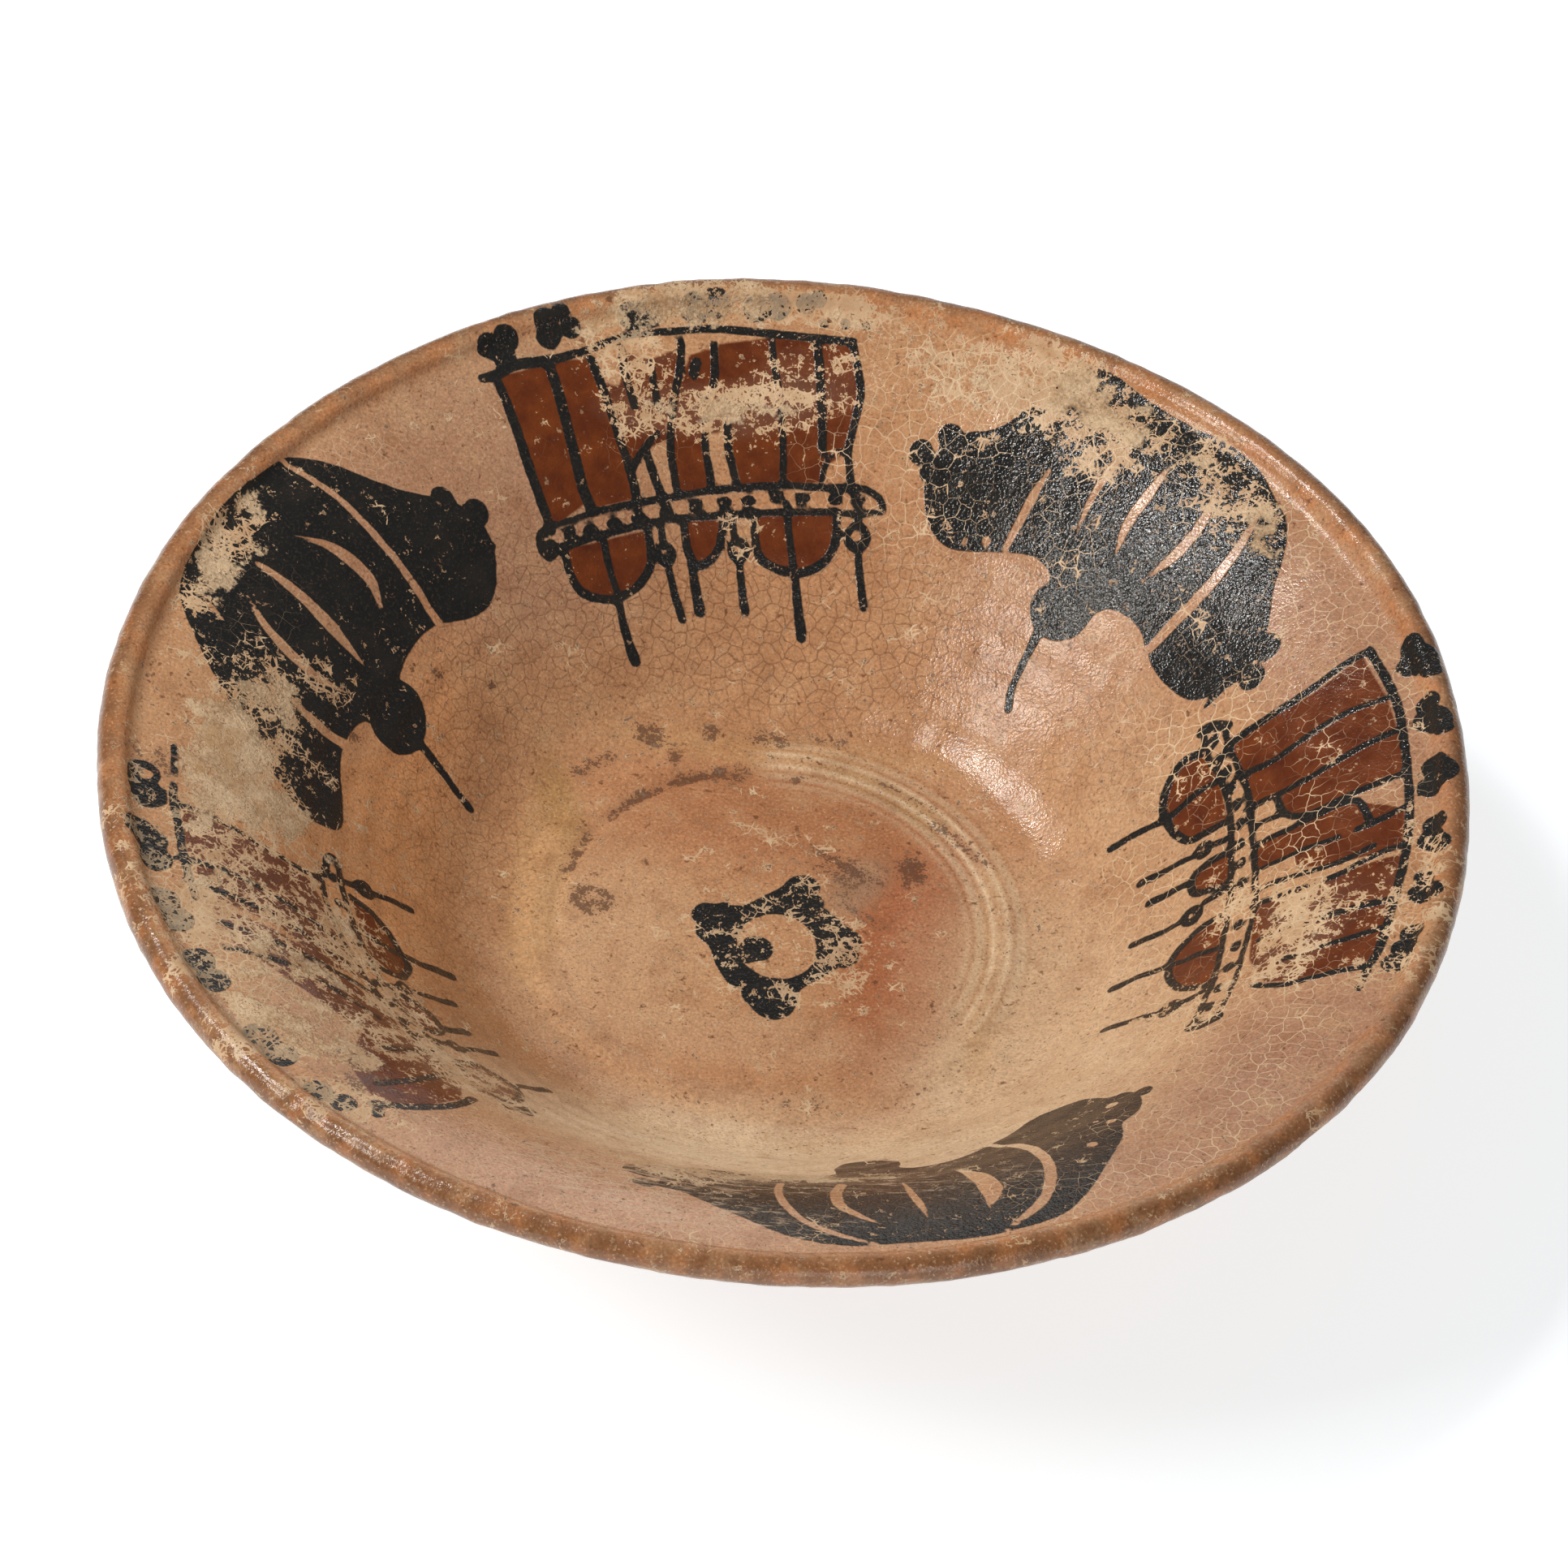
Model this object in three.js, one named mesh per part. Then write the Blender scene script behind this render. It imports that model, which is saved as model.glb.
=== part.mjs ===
// A wide glazed terracotta bowl: a flat floor with a turned ring, a straight flaring wall,
// a shoulder that leans out to a narrow flange, a rounded bead at the lip and a foot ring.
// Millimetres, +Z up. The foot ring stands on z = 0 and the pot's axis is the Z axis.

import * as THREE from 'three';
import { mergeVertices } from 'three/addons/utils/BufferGeometryUtils.js';

// The inside, from the middle of the floor out to the lip.
const floorRadius = 54;
const cavettoRadius = 31.4;
const wallSlope = THREE.MathUtils.degToRad(41.3);
const wallLength = 41;
const shoulderRadius = 85.3;
const flangeSlope = THREE.MathUtils.degToRad(14.8);
const flangeLength = 2.9;
const beadRadius = 3.6;

// The ring that was scored into the floor as it turned.
const scoreRadius = 48;
const scoreWidth = 3.2;
const scoreDepth = 0.7;

// The thickness of the clay at the floor and where the wall meets the bead.
const floorThickness = 9.5;
const lipThickness = 6.4;

// The foot ring, turned out of the thick base.
const footRadius = 56;
const footWidth = 8;
const footHeight = 8;
const footDraft = 2;
const footBevel = 1.2;

// How far the drying clay pulled the lip out of round. Each line is the number of swells
// round the lip, and the size of its cosine and of its sine.
const lipSwells = [
  [2, 0.18, 1.3],
  [3, -0.22, -0.52],
  [4, -0.56, 0.23],
  [5, -0.31, 0.12],
  [6, -0.2, -0.26],
];

// How finely the curves are cut into flats.
const turnSegments = 84;
const cavettoSteps = 5;
const shoulderSteps = 7;
const beadSteps = 9;

// The glaze over the clay, as it looks from a step away.
const glazeColour = 0xd9a47a;
const glazeRoughness = 0.25;

// One point of the inside, with the direction that points into the clay there.
function insidePoint(radius, height, slope) {
  return { radius, height, slope };
}

// The inside as a chain of tangent pieces: flat floor, cavetto arc, straight wall,
// shoulder arc and flange. Heights are measured from the floor.
function insideLine() {
  const line = [insidePoint(floorRadius, 0, 0)];
  for (let step = 1; step <= cavettoSteps; step += 1) {
    const slope = (wallSlope * step) / cavettoSteps;
    const radius = floorRadius + cavettoRadius * Math.sin(slope);
    line.push(insidePoint(radius, cavettoRadius * (1 - Math.cos(slope)), slope));
  }
  const wallFoot = line[line.length - 1];
  const wallTop = insidePoint(
    wallFoot.radius + wallLength * Math.cos(wallSlope),
    wallFoot.height + wallLength * Math.sin(wallSlope),
    wallSlope,
  );
  line.push(wallTop);
  for (let step = 1; step <= shoulderSteps; step += 1) {
    const slope = THREE.MathUtils.lerp(wallSlope, flangeSlope, step / shoulderSteps);
    const radius = wallTop.radius + shoulderRadius * (Math.sin(wallSlope) - Math.sin(slope));
    const height = wallTop.height + shoulderRadius * (Math.cos(slope) - Math.cos(wallSlope));
    line.push(insidePoint(radius, height, slope));
  }
  const shoulderTop = line[line.length - 1];
  line.push(insidePoint(
    shoulderTop.radius + flangeLength * Math.cos(flangeSlope),
    shoulderTop.height + flangeLength * Math.sin(flangeSlope),
    flangeSlope,
  ));
  return line;
}

// The outside runs beside the inside, one clay thickness away from it, and the clay thins
// evenly from the floor to the lip.
function outsideLine(inside) {
  const first = inside[0].radius;
  const last = inside[inside.length - 1].radius;
  const line = inside.map((point) => {
    const share = (point.radius - first) / (last - first);
    const thickness = THREE.MathUtils.lerp(floorThickness, lipThickness, share);
    return new THREE.Vector2(
      point.radius + thickness * Math.sin(point.slope),
      point.height - thickness * Math.cos(point.slope),
    );
  });
  line.unshift(new THREE.Vector2(0, -floorThickness));
  return line;
}

// The height of the outside at one radius, between its two nearest points.
function outsideHeight(outside, radius) {
  const next = Math.max(1, outside.findIndex((point) => point.x > radius));
  const before = outside[next - 1];
  const after = outside[next];
  const share = (radius - before.x) / (after.x - before.x);
  return THREE.MathUtils.lerp(before.y, after.y, share);
}

// The rounded lip sits at the end of the flange, with its middle level with the flange,
// and turns from the inside over the top until it heads for the outside of the shoulder.
function beadLine(flangeEnd, shoulderOutside) {
  const middle = new THREE.Vector2(flangeEnd.radius + beadRadius, flangeEnd.height);
  const away = new THREE.Vector2().subVectors(shoulderOutside, middle);
  const lastAngle = away.angle() - 2 * Math.PI + Math.acos(Math.min(1, beadRadius / away.length()));
  const line = [];
  for (let step = 0; step <= beadSteps; step += 1) {
    const angle = THREE.MathUtils.lerp(Math.PI, lastAngle, step / beadSteps);
    line.push(new THREE.Vector2(
      middle.x + beadRadius * Math.cos(angle),
      middle.y + beadRadius * Math.sin(angle),
    ));
  }
  return line;
}

// The whole section from the middle of the floor over the lip and round the foot ring to the
// middle of the underside, with the foot ring on height zero.
function sectionPoints() {
  const inside = insideLine();
  const outside = outsideLine(inside);
  const floorHeight = footHeight + floorThickness;
  const halfScore = scoreWidth / 2;
  const points = [
    new THREE.Vector2(0, 0),
    new THREE.Vector2(scoreRadius - halfScore, 0),
    new THREE.Vector2(scoreRadius, -scoreDepth),
    new THREE.Vector2(scoreRadius + halfScore, 0),
  ];
  inside.slice(0, -1).forEach((point) => {
    if (point.radius > scoreRadius + halfScore) {
      points.push(new THREE.Vector2(point.radius, point.height));
    }
  });
  const flangeEnd = inside[inside.length - 1];
  points.push(...beadLine(flangeEnd, outside[outside.length - 2]));
  outside.slice(0, -1).reverse().forEach((point) => {
    if (point.x > footRadius) {
      points.push(point);
    }
  });
  points.push(new THREE.Vector2(footRadius, outsideHeight(outside, footRadius)));
  points.forEach((point) => {
    point.y += floorHeight;
  });
  const footInside = footRadius - footWidth;
  points.push(
    new THREE.Vector2(footRadius, footBevel),
    new THREE.Vector2(footRadius - footBevel, 0),
    new THREE.Vector2(footInside + footBevel, 0),
    new THREE.Vector2(footInside, footBevel),
    new THREE.Vector2(footInside - footDraft, footHeight),
    new THREE.Vector2(0, footHeight),
  );
  return points;
}

// How far the clay has moved outwards at one angle round the lip.
function lipSwell(angle) {
  return lipSwells.reduce((sum, [swells, cosine, sine]) => (
    sum + cosine * Math.cos(swells * angle) + sine * Math.sin(swells * angle)
  ), 0);
}

// The section turned about the axis, and then pulled out of round, with nothing at the
// floor's edge and the whole swell at the lip.
function bowlGeometry() {
  const points = sectionPoints().reverse();
  const turned = new THREE.LatheGeometry(points, turnSegments);
  turned.rotateX(Math.PI / 2);
  turned.deleteAttribute('normal');
  turned.deleteAttribute('uv');
  const geometry = mergeVertices(turned, 0.001);
  const lipRadius = Math.max(...points.map((point) => point.x));
  const position = geometry.getAttribute('position');
  for (let index = 0; index < position.count; index += 1) {
    const x = position.getX(index);
    const y = position.getY(index);
    const radius = Math.hypot(x, y);
    const share = THREE.MathUtils.smoothstep(radius, floorRadius, lipRadius);
    if (share > 0) {
      const stretch = 1 + (share * lipSwell(Math.atan2(y, x))) / radius;
      position.setXY(index, x * stretch, y * stretch);
    }
  }
  geometry.computeVertexNormals();
  return geometry;
}

const object = new THREE.Group();

const bowl = new THREE.Mesh(bowlGeometry(), new THREE.MeshStandardMaterial({
  color: glazeColour,
  roughness: glazeRoughness,
  metalness: 0,
}));
bowl.name = 'bowl';
object.add(bowl);

export default object;
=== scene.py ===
import math

import bpy
import numpy as np
from mathutils import Matrix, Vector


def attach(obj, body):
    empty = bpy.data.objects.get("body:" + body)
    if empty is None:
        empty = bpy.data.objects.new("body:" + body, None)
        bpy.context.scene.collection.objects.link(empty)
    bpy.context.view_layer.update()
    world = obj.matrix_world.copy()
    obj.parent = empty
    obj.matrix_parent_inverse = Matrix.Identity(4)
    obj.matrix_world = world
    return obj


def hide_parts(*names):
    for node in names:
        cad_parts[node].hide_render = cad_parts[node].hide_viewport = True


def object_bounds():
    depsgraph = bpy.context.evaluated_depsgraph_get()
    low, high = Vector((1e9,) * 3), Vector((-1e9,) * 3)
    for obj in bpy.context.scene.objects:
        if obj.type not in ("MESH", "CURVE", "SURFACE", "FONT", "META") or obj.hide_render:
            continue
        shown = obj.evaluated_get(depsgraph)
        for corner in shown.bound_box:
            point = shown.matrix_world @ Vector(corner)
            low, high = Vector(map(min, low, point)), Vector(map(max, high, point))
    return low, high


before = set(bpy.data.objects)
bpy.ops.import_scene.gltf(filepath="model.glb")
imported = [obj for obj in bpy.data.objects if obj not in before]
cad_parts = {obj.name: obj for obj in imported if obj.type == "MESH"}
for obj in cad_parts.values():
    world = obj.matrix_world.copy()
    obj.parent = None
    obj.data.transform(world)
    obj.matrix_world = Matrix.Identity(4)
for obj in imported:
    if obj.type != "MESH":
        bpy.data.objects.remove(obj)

# Floor and light: a plain matt acrylic sheet, lit from below until it is almost white, and soft
# boxes to the left, above, behind and in front. The sheet's own glow leaves only a faint grey
# shadow where the bowl keeps the boxes' light off it.

cad_low, cad_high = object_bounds()
scene = bpy.context.scene
scene.view_settings.view_transform = "Standard"


def linear(colour):
    """sRGB hex such as "#c89070" to linear red, green and blue: each share is divided by 12.92
    where it is small, and otherwise shifted by 0.055, divided by 1.055 and raised to 2.4."""
    shares = [int(colour[place:place + 2], 16) / 255 for place in (1, 3, 5)]
    return [share / 12.92 if share <= 0.04045 else ((share + 0.055) / 1.055) ** 2.4 for share in shares]


def add(tree, kind, inputs=None, **settings):
    """Adds a node with its settings, and gives each input a value or a link from another node."""
    node = tree.nodes.new(kind)
    for name, value in settings.items():
        setattr(node, name, value)
    for key, value in (inputs or {}).items():
        if isinstance(value, bpy.types.NodeSocket):
            tree.links.new(value, node.inputs[key])
        else:
            node.inputs[key].default_value = value
    return node


def new_material(name):
    """An empty node material and its node tree."""
    material = bpy.data.materials.new(name)
    material.use_nodes = True
    material.node_tree.nodes.clear()
    return material, material.node_tree


floor_size = 6.0
floor_mesh = bpy.data.meshes.new("floor")
half = floor_size / 2
floor_mesh.from_pydata([(-half, -half, 0), (half, -half, 0), (half, half, 0), (-half, half, 0)], [],
    [(0, 1, 2, 3)])
floor = bpy.data.objects.new("floor", floor_mesh)
scene.collection.objects.link(floor)
acrylic, tree = new_material("matt_white_acrylic")
surface = add(tree, "ShaderNodeBsdfPrincipled", {
    "Base Color": (*linear("#c8d3da"), 1), "Roughness": 0.9, "Specular IOR Level": 0.1,
    "Emission Color": (1, 1, 1, 1), "Emission Strength": 0.69})
add(tree, "ShaderNodeOutputMaterial", {"Surface": surface.outputs[0]})
floor_mesh.materials.append(acrylic)


def soft_box(name, direction, distance, size, watts, colour):
    """A square area light at a distance along a direction from the bowl, facing the bowl."""
    light = bpy.data.lights.new(name, "AREA")
    light.size = size
    light.energy = watts
    light.color = linear(colour)
    towards = np.array(direction, float) / np.linalg.norm(direction)
    lamp = bpy.data.objects.new(name, light)
    lamp.location = towards * distance
    azimuth = math.atan2(towards[1], towards[0])
    lamp.rotation_euler = (0, math.acos(towards[2]), azimuth)
    scene.collection.objects.link(lamp)


soft_box("left_box", (-0.70, -0.30, 0.65), 1.6, 0.4, 10.5, "#fffaf3")
soft_box("top_box", (-0.46, 0.17, 0.87), 1.7, 0.3, 13.5, "#fffdfa")
soft_box("back_box", (0.1, 0.95, 0.3), 1.9, 0.9, 2, "#ffffff")
soft_box("front_box", (0.30, -0.90, 0.32), 1.8, 0.9, 7.5, "#ffffff")
world = bpy.data.worlds.new("studio")
scene.world = world
world.use_nodes = True
world.node_tree.nodes["Background"].inputs["Color"].default_value = (*linear("#ffffff"), 1)
world.node_tree.nodes["Background"].inputs["Strength"].default_value = 0.2

# Camera: a long lens two metres away, 46 degrees above the table and turned a little about its
# own axis, so that the right side of the bowl sits lower in the picture.

mm = 0.001
camera_distance = 2.0
camera_rise = math.radians(46.26)
camera_turn = math.radians(5.85)
lens = 211.2
lip_in_picture = (973.5, 922.8)
picture_middle = 966.0
pixels_per_metre = 5667.0

lip_middle = np.array([0, 0, cad_high[2]])
forward = np.array([0, math.cos(camera_rise), -math.sin(camera_rise)])
upright = np.array([0, math.sin(camera_rise), math.cos(camera_rise)])
right = math.cos(camera_turn) * np.array([1, 0, 0]) + math.sin(camera_turn) * upright
up = np.cross(right, forward)
place = lip_middle - camera_distance * forward
aim = lip_middle + (picture_middle - lip_in_picture[0]) / pixels_per_metre * right
aim = aim - (picture_middle - lip_in_picture[1]) / pixels_per_metre * up
back = (place - aim) / np.linalg.norm(place - aim)
right = np.cross(up, back)
right = right / np.linalg.norm(right)
up = np.cross(back, right)
camera_data = bpy.data.cameras.new("camera")
camera_data.lens = lens
camera_data.sensor_width = 36
camera_data.clip_end = 20
camera = bpy.data.objects.new("camera", camera_data)
turn = np.eye(4)
turn[:3, 0] = right
turn[:3, 1] = up
turn[:3, 2] = back
turn[:3, 3] = place
camera.matrix_world = Matrix(turn.tolist())
scene.collection.objects.link(camera)
scene.camera = camera

# The bowl: red clay thrown on a wheel and turned when leather hard, in one piece from the foot
# ring to the rounded lip. Its section is turned about the upright axis and then pulled slightly
# out of round, as the clay was when it dried. Lengths are in millimetres until the mesh is made.

floor_radius = 54.0
cavetto_radius = 31.4
wall_slope = math.radians(41.3)
wall_length = 41.0
shoulder_radius = 85.3
flange_slope = math.radians(14.8)
flange_length = 2.9
bead_radius = 3.6
floor_thickness = 9.5
lip_thickness = 6.4
foot_radius = 56.0
foot_width = 8.0
foot_height = 8.0
foot_draft = 2.0
foot_bevel = 1.2
score_radius = 48.0
score_width = 3.2
score_depth = 0.7
lip_swells = ((2, 0.18, 1.3), (3, -0.22, -0.52), (4, -0.56, 0.23), (5, -0.31, 0.12), (6, -0.2, -0.26))
coarse_turn = 192
middle_turn = 384
fine_turn = 768
paint_from = 62.0
ring_gap = 1.25
flange_points = 12
plain_rows = 12
middle_rows = 42
middle_from = 14.0


def inside_section(steps=160):
    """Radius, height over the floor and slope down the inside, as tangent pieces in a row: a level
    line, an arc that steepens, a straight line, an arc that flattens and a short straight line."""
    level = np.linspace(0, floor_radius, steps)
    bend = np.linspace(0, wall_slope, steps)
    climb = np.linspace(0, wall_length, steps)
    lean = np.linspace(wall_slope, flange_slope, steps)
    edge = np.linspace(0, flange_length, flange_points)
    radius = [level, floor_radius + cavetto_radius * np.sin(bend)]
    height = [level * 0, cavetto_radius * (1 - np.cos(bend))]
    radius.append(radius[-1][-1] + climb * math.cos(wall_slope))
    height.append(height[-1][-1] + climb * math.sin(wall_slope))
    radius.append(radius[-1][-1] + shoulder_radius * (math.sin(wall_slope) - np.sin(lean)))
    height.append(height[-1][-1] + shoulder_radius * (np.cos(lean) - math.cos(wall_slope)))
    radius.append(radius[-1][-1] + edge * math.cos(flange_slope))
    height.append(height[-1][-1] + edge * math.sin(flange_slope))
    slope = [level * 0, bend, climb * 0 + wall_slope, lean, edge * 0 + flange_slope]
    return np.concatenate(radius), np.concatenate(height), np.concatenate(slope)


def run_along(radius, height):
    """The distance along a line of points: the running sum of the steps between them."""
    return np.concatenate([[0], np.cumsum(np.hypot(np.diff(radius), np.diff(height)))])


def rounded_corner(first, corner, last, steps=5):
    """A curve that leaves the first point towards the corner and reaches the last from it:
    the corner counts most in the middle, the two ends count by the square of their nearness."""
    share = np.linspace(0, 1, steps)[:, None]
    ends = (1 - share) ** 2 * np.array(first) + share ** 2 * np.array(last)
    return ends + 2 * share * (1 - share) * np.array(corner)


in_radius, in_height, in_slope = inside_section()
in_run = run_along(in_radius, in_height)
flange_run = in_run[-1]
thickness = np.interp(in_radius, [floor_radius, in_radius[-1]], [floor_thickness, lip_thickness])
out_radius = in_radius + thickness * np.sin(in_slope)
out_height = in_height - thickness * np.cos(in_slope)
bead_middle = np.array([in_radius[-1] + bead_radius, in_height[-1]])
shoulder_end = np.array([out_radius[-flange_points - 1], out_height[-flange_points - 1]])
away = shoulder_end - bead_middle
bead_end = math.atan2(away[1], away[0]) + math.acos(bead_radius / np.linalg.norm(away))

rows = []
counts = []


def add_rows(radius, height, count):
    """Appends rings to the section, each with its number of points round the turn."""
    for one_radius, one_height in zip(radius, height):
        rows.append((float(one_radius), float(one_height)))
        counts.append(count)


corner_cut = 2.2
runs = np.concatenate([
    np.linspace(0, middle_from, plain_rows + 1)[:-1],
    np.linspace(middle_from, paint_from, middle_rows + 1)[:-1],
    np.linspace(paint_from, flange_run - corner_cut, int((flange_run - paint_from) / ring_gap))])
run_counts = [1] + [coarse_turn] * (plain_rows - 1) + [middle_turn] * middle_rows
run_counts = run_counts + [fine_turn] * (len(runs) - len(run_counts))
for one_run, count in zip(runs, run_counts):
    add_rows([np.interp(one_run, in_run, in_radius)], [np.interp(one_run, in_run, in_height)], count)
bead_start = math.radians(143)
bead_first = bead_middle + bead_radius * np.array([math.cos(bead_start), math.sin(bead_start)])
corner = rounded_corner(rows[-1], (in_radius[-1], in_height[-1]), bead_first)[1:]
add_rows(corner[:, 0], corner[:, 1], fine_turn)
bead_angle = np.linspace(bead_start, bead_end, 11)[1:]
add_rows(bead_middle[0] + bead_radius * np.cos(bead_angle), bead_middle[1] + bead_radius * np.sin(bead_angle),
         fine_turn)
down = out_radius[:-flange_points][::-1]
down_height = out_height[:-flange_points][::-1]
down_run = run_along(down, down_height)
foot_run = np.interp(-foot_radius, -down, down_run)
under_runs = np.linspace(0, foot_run, 18)
add_rows([down[0]], [down_height[0]], middle_turn)
under_runs = under_runs[1:]
add_rows(np.interp(under_runs, down_run, down), np.interp(under_runs, down_run, down_height), coarse_turn)
foot_top = rows.pop()
counts.pop()
ground = -floor_thickness - foot_height
foot_inside = foot_radius - foot_width
quarter = np.linspace(0, math.pi / 2, 5)
waist = rounded_corner(rows[-1], foot_top, (foot_radius, foot_top[1] - 2.5), 6)[1:]
add_rows(waist[:, 0], waist[:, 1], coarse_turn)
add_rows([foot_radius] * 2, np.linspace(foot_top[1] - 3.6, ground + foot_bevel, 3)[:2], coarse_turn)
add_rows(foot_radius - foot_bevel * (1 - np.cos(quarter)), ground + foot_bevel * (1 - np.sin(quarter)),
         coarse_turn)
add_rows(np.linspace(foot_radius - foot_bevel, foot_inside + foot_bevel, 5)[1:-1], [ground] * 3, coarse_turn)
add_rows(foot_inside + foot_bevel * (1 - np.sin(quarter)), ground + foot_bevel * (1 - np.cos(quarter)),
         coarse_turn)
recess = rounded_corner((foot_inside - 0.5 * foot_draft, ground + 0.5 * foot_height),
                        (foot_inside - foot_draft, -floor_thickness),
                        (foot_inside - foot_draft - 5, -floor_thickness), 6)
add_rows(recess[:, 0], recess[:, 1], coarse_turn)
add_rows(np.linspace(foot_inside - foot_draft - 5, 12, 6)[1:], [-floor_thickness] * 5, coarse_turn)
add_rows(np.linspace(12, 0, 5)[1:-1], [-floor_thickness] * 3, coarse_turn)
add_rows([0], [-floor_thickness], 1)

row_radius = np.array([row[0] for row in rows])
row_height = np.array([row[1] for row in rows]) - ground
row_count = np.array(counts)
row_run = run_along(row_radius, row_height)
first_of_row = np.concatenate([[0], np.cumsum(row_count)])
vertex_row = np.repeat(np.arange(len(rows)), row_count)
vertex_turn = (np.arange(first_of_row[-1]) - first_of_row[vertex_row]) * 2 * math.pi / row_count[vertex_row]
lip_row = int(np.argmax(row_radius))
inside = vertex_row <= lip_row


def band(above, below):
    """The triangles between two rings. Rings of equal count give two triangles a step, a ring
    with twice the points gives three triangles for each point of the other, and a ring of one
    point gives a fan."""
    many, few = row_count[above], row_count[below]
    top, low = first_of_row[above], first_of_row[below]
    if many == 1 or few == 1:
        step = np.arange(max(many, few))
        after = (step + 1) % len(step)
        if many == 1:
            return np.stack([step * 0 + top, low + step, low + after], 1)
        return np.stack([top + step, step * 0 + low, top + after], 1)
    if many == few:
        step = np.arange(many)
        after = (step + 1) % many
        left = np.stack([top + step, low + step, low + after], 1)
        return np.concatenate([left, np.stack([top + step, low + after, top + after], 1)])
    step = np.arange(min(many, few))
    after = (step + 1) % len(step)
    if many < few:
        fine, after_fine = low + 2 * step, low + (2 * step + 2) % few
        pieces = ((top + step, fine, fine + 1), (top + step, fine + 1, top + after),
                  (top + after, fine + 1, after_fine))
    else:
        fine, after_fine = top + 2 * step, top + (2 * step + 2) % many
        pieces = ((low + step, fine + 1, fine), (low + step, low + after, fine + 1),
                  (low + after, after_fine, fine + 1))
    return np.concatenate([np.stack(piece, 1) for piece in pieces])


triangles = np.concatenate([band(row, row + 1) for row in range(len(rows) - 1)])

# Where each point lies on the pot. Inside, plan_x and plan_y are millimetres across a flat map
# whose distance from the middle is the distance over the clay. The outside has a map of its own
# beside it, measured from the middle of the underside.
outer_run = row_run[-1] - row_run
map_run = np.where(inside, row_run[vertex_row], outer_run[vertex_row])
plan_x = map_run * np.cos(vertex_turn)
plan_y = map_run * np.sin(vertex_turn)


def waves(x, y, size, seed, layers=4):
    """Smooth random swells between about -1 and 1: sines across a few random directions, with
    wavelengths from size downwards, added with less weight as they get shorter."""
    random = np.random.default_rng(seed)
    total = np.zeros_like(x)
    for layer in range(layers):
        length = size / 1.7 ** layer
        for _ in range(4):
            heading = random.uniform(0, 2 * math.pi)
            phase = random.uniform(0, 2 * math.pi)
            total += np.sin((x * math.cos(heading) + y * math.sin(heading)) * 2 * math.pi / length + phase) \
                * 0.35 / 1.5 ** layer
    return total


def hump(value, middle, width):
    """A smooth hill, one at the middle and near nothing two widths away: a bell curve."""
    return np.exp(-((value - middle) / width) ** 2)


# The relief that the potter's fingers and tools left, in millimetres along the surface's own
# direction outwards: the scored ring, fine turning rings and a low kerb round them, throwing rings
# up the wall, a chip on the lip, small pits and slow swells all over.
run = map_run
relief = 0.10 * waves(plan_x, plan_y, 46, 3) + 0.035 * waves(plan_x, plan_y, 11, 4)
turning = hump(run, 50, 9) * (0.5 + 0.5 * waves(plan_x, plan_y, 60, 5))
floor_rings = 0.16 * np.sin(run * 2 * math.pi / 3.1 + 0.5 * np.sin(vertex_turn)) * turning
throwing = 0.10 * np.sin(run * 2 * math.pi / 8.5 + vertex_turn) * hump(run, 100, 32)
score = -score_depth * np.clip(1 - np.abs(run - score_radius) / (score_width / 2), 0, 1)
score = score * (0.55 + 0.45 * np.sin(vertex_turn - 0.4))
kerb = 0.45 * hump(run, 53.5, 2.6) + 0.18 * hump(run, 62, 2.4) * (0.6 + 0.4 * np.sin(vertex_turn))
relief = relief + np.where(inside, floor_rings + throwing + score + kerb, 0)
bead_place = np.clip((row_radius[vertex_row] - in_radius[-1]) / bead_radius, 0, 1)
relief = relief + bead_place * 0.09 * waves(plan_x, plan_y, 15, 6)
chip_turn = math.radians(230.6)
chip = hump(vertex_turn, chip_turn, 0.016) * hump(row_run[vertex_row], flange_run + 7.5, 2.2)
relief = relief - 1.1 * chip
pits = ((-75.3, 62.4, 1.7, 0.25), (-72.3, 52.9, 0.9, 0.5), (-86.6, 49.2, 0.9, 0.5), (-63.2, 47.1, 1.4, 0.3),
    (-61.6, 59.7, 1.0, 0.4), (-68, 74, 1.5, 0.25), (-64.5, -4.5, 0.8, 0.4), (-36, 62, 1.0, 0.4),
    (-32, 52, 1.2, 0.4), (-12, 56, 1.1, 0.3), (50, 40, 1.0, 0.3), (62, -10, 1.1, 0.35),
    (20, -62, 1.0, 0.35), (-48, -58, 1.1, 0.3))
for x, y, size, depth in pits:
    relief = relief - np.where(inside, depth * hump(np.hypot(plan_x - x, plan_y - y), 0, size), 0)
relief = relief * np.clip(1 - hump(row_height[vertex_row], 0, 1.6), 0, 1)

tangent = np.stack([np.gradient(row_radius), np.gradient(row_height)], 1)
tangent = tangent / np.linalg.norm(tangent, axis=1)[:, None]
row_out = np.stack([-tangent[:, 1], tangent[:, 0]], 1)
radius = row_radius[vertex_row] + relief * row_out[vertex_row, 0]
height = row_height[vertex_row] + relief * row_out[vertex_row, 1]
share = np.clip((radius - floor_radius) / (row_radius.max() - floor_radius), 0, 1)
share = share * share * (3 - 2 * share)
for swells, cosine, sine in lip_swells:
    radius = radius + share * (cosine * np.cos(swells * vertex_turn) + sine * np.sin(swells * vertex_turn))
height_scale = cad_high[2] / mm / row_height.max()
points = np.stack([radius * np.cos(vertex_turn), radius * np.sin(vertex_turn), height * height_scale], 1) * mm

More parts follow.
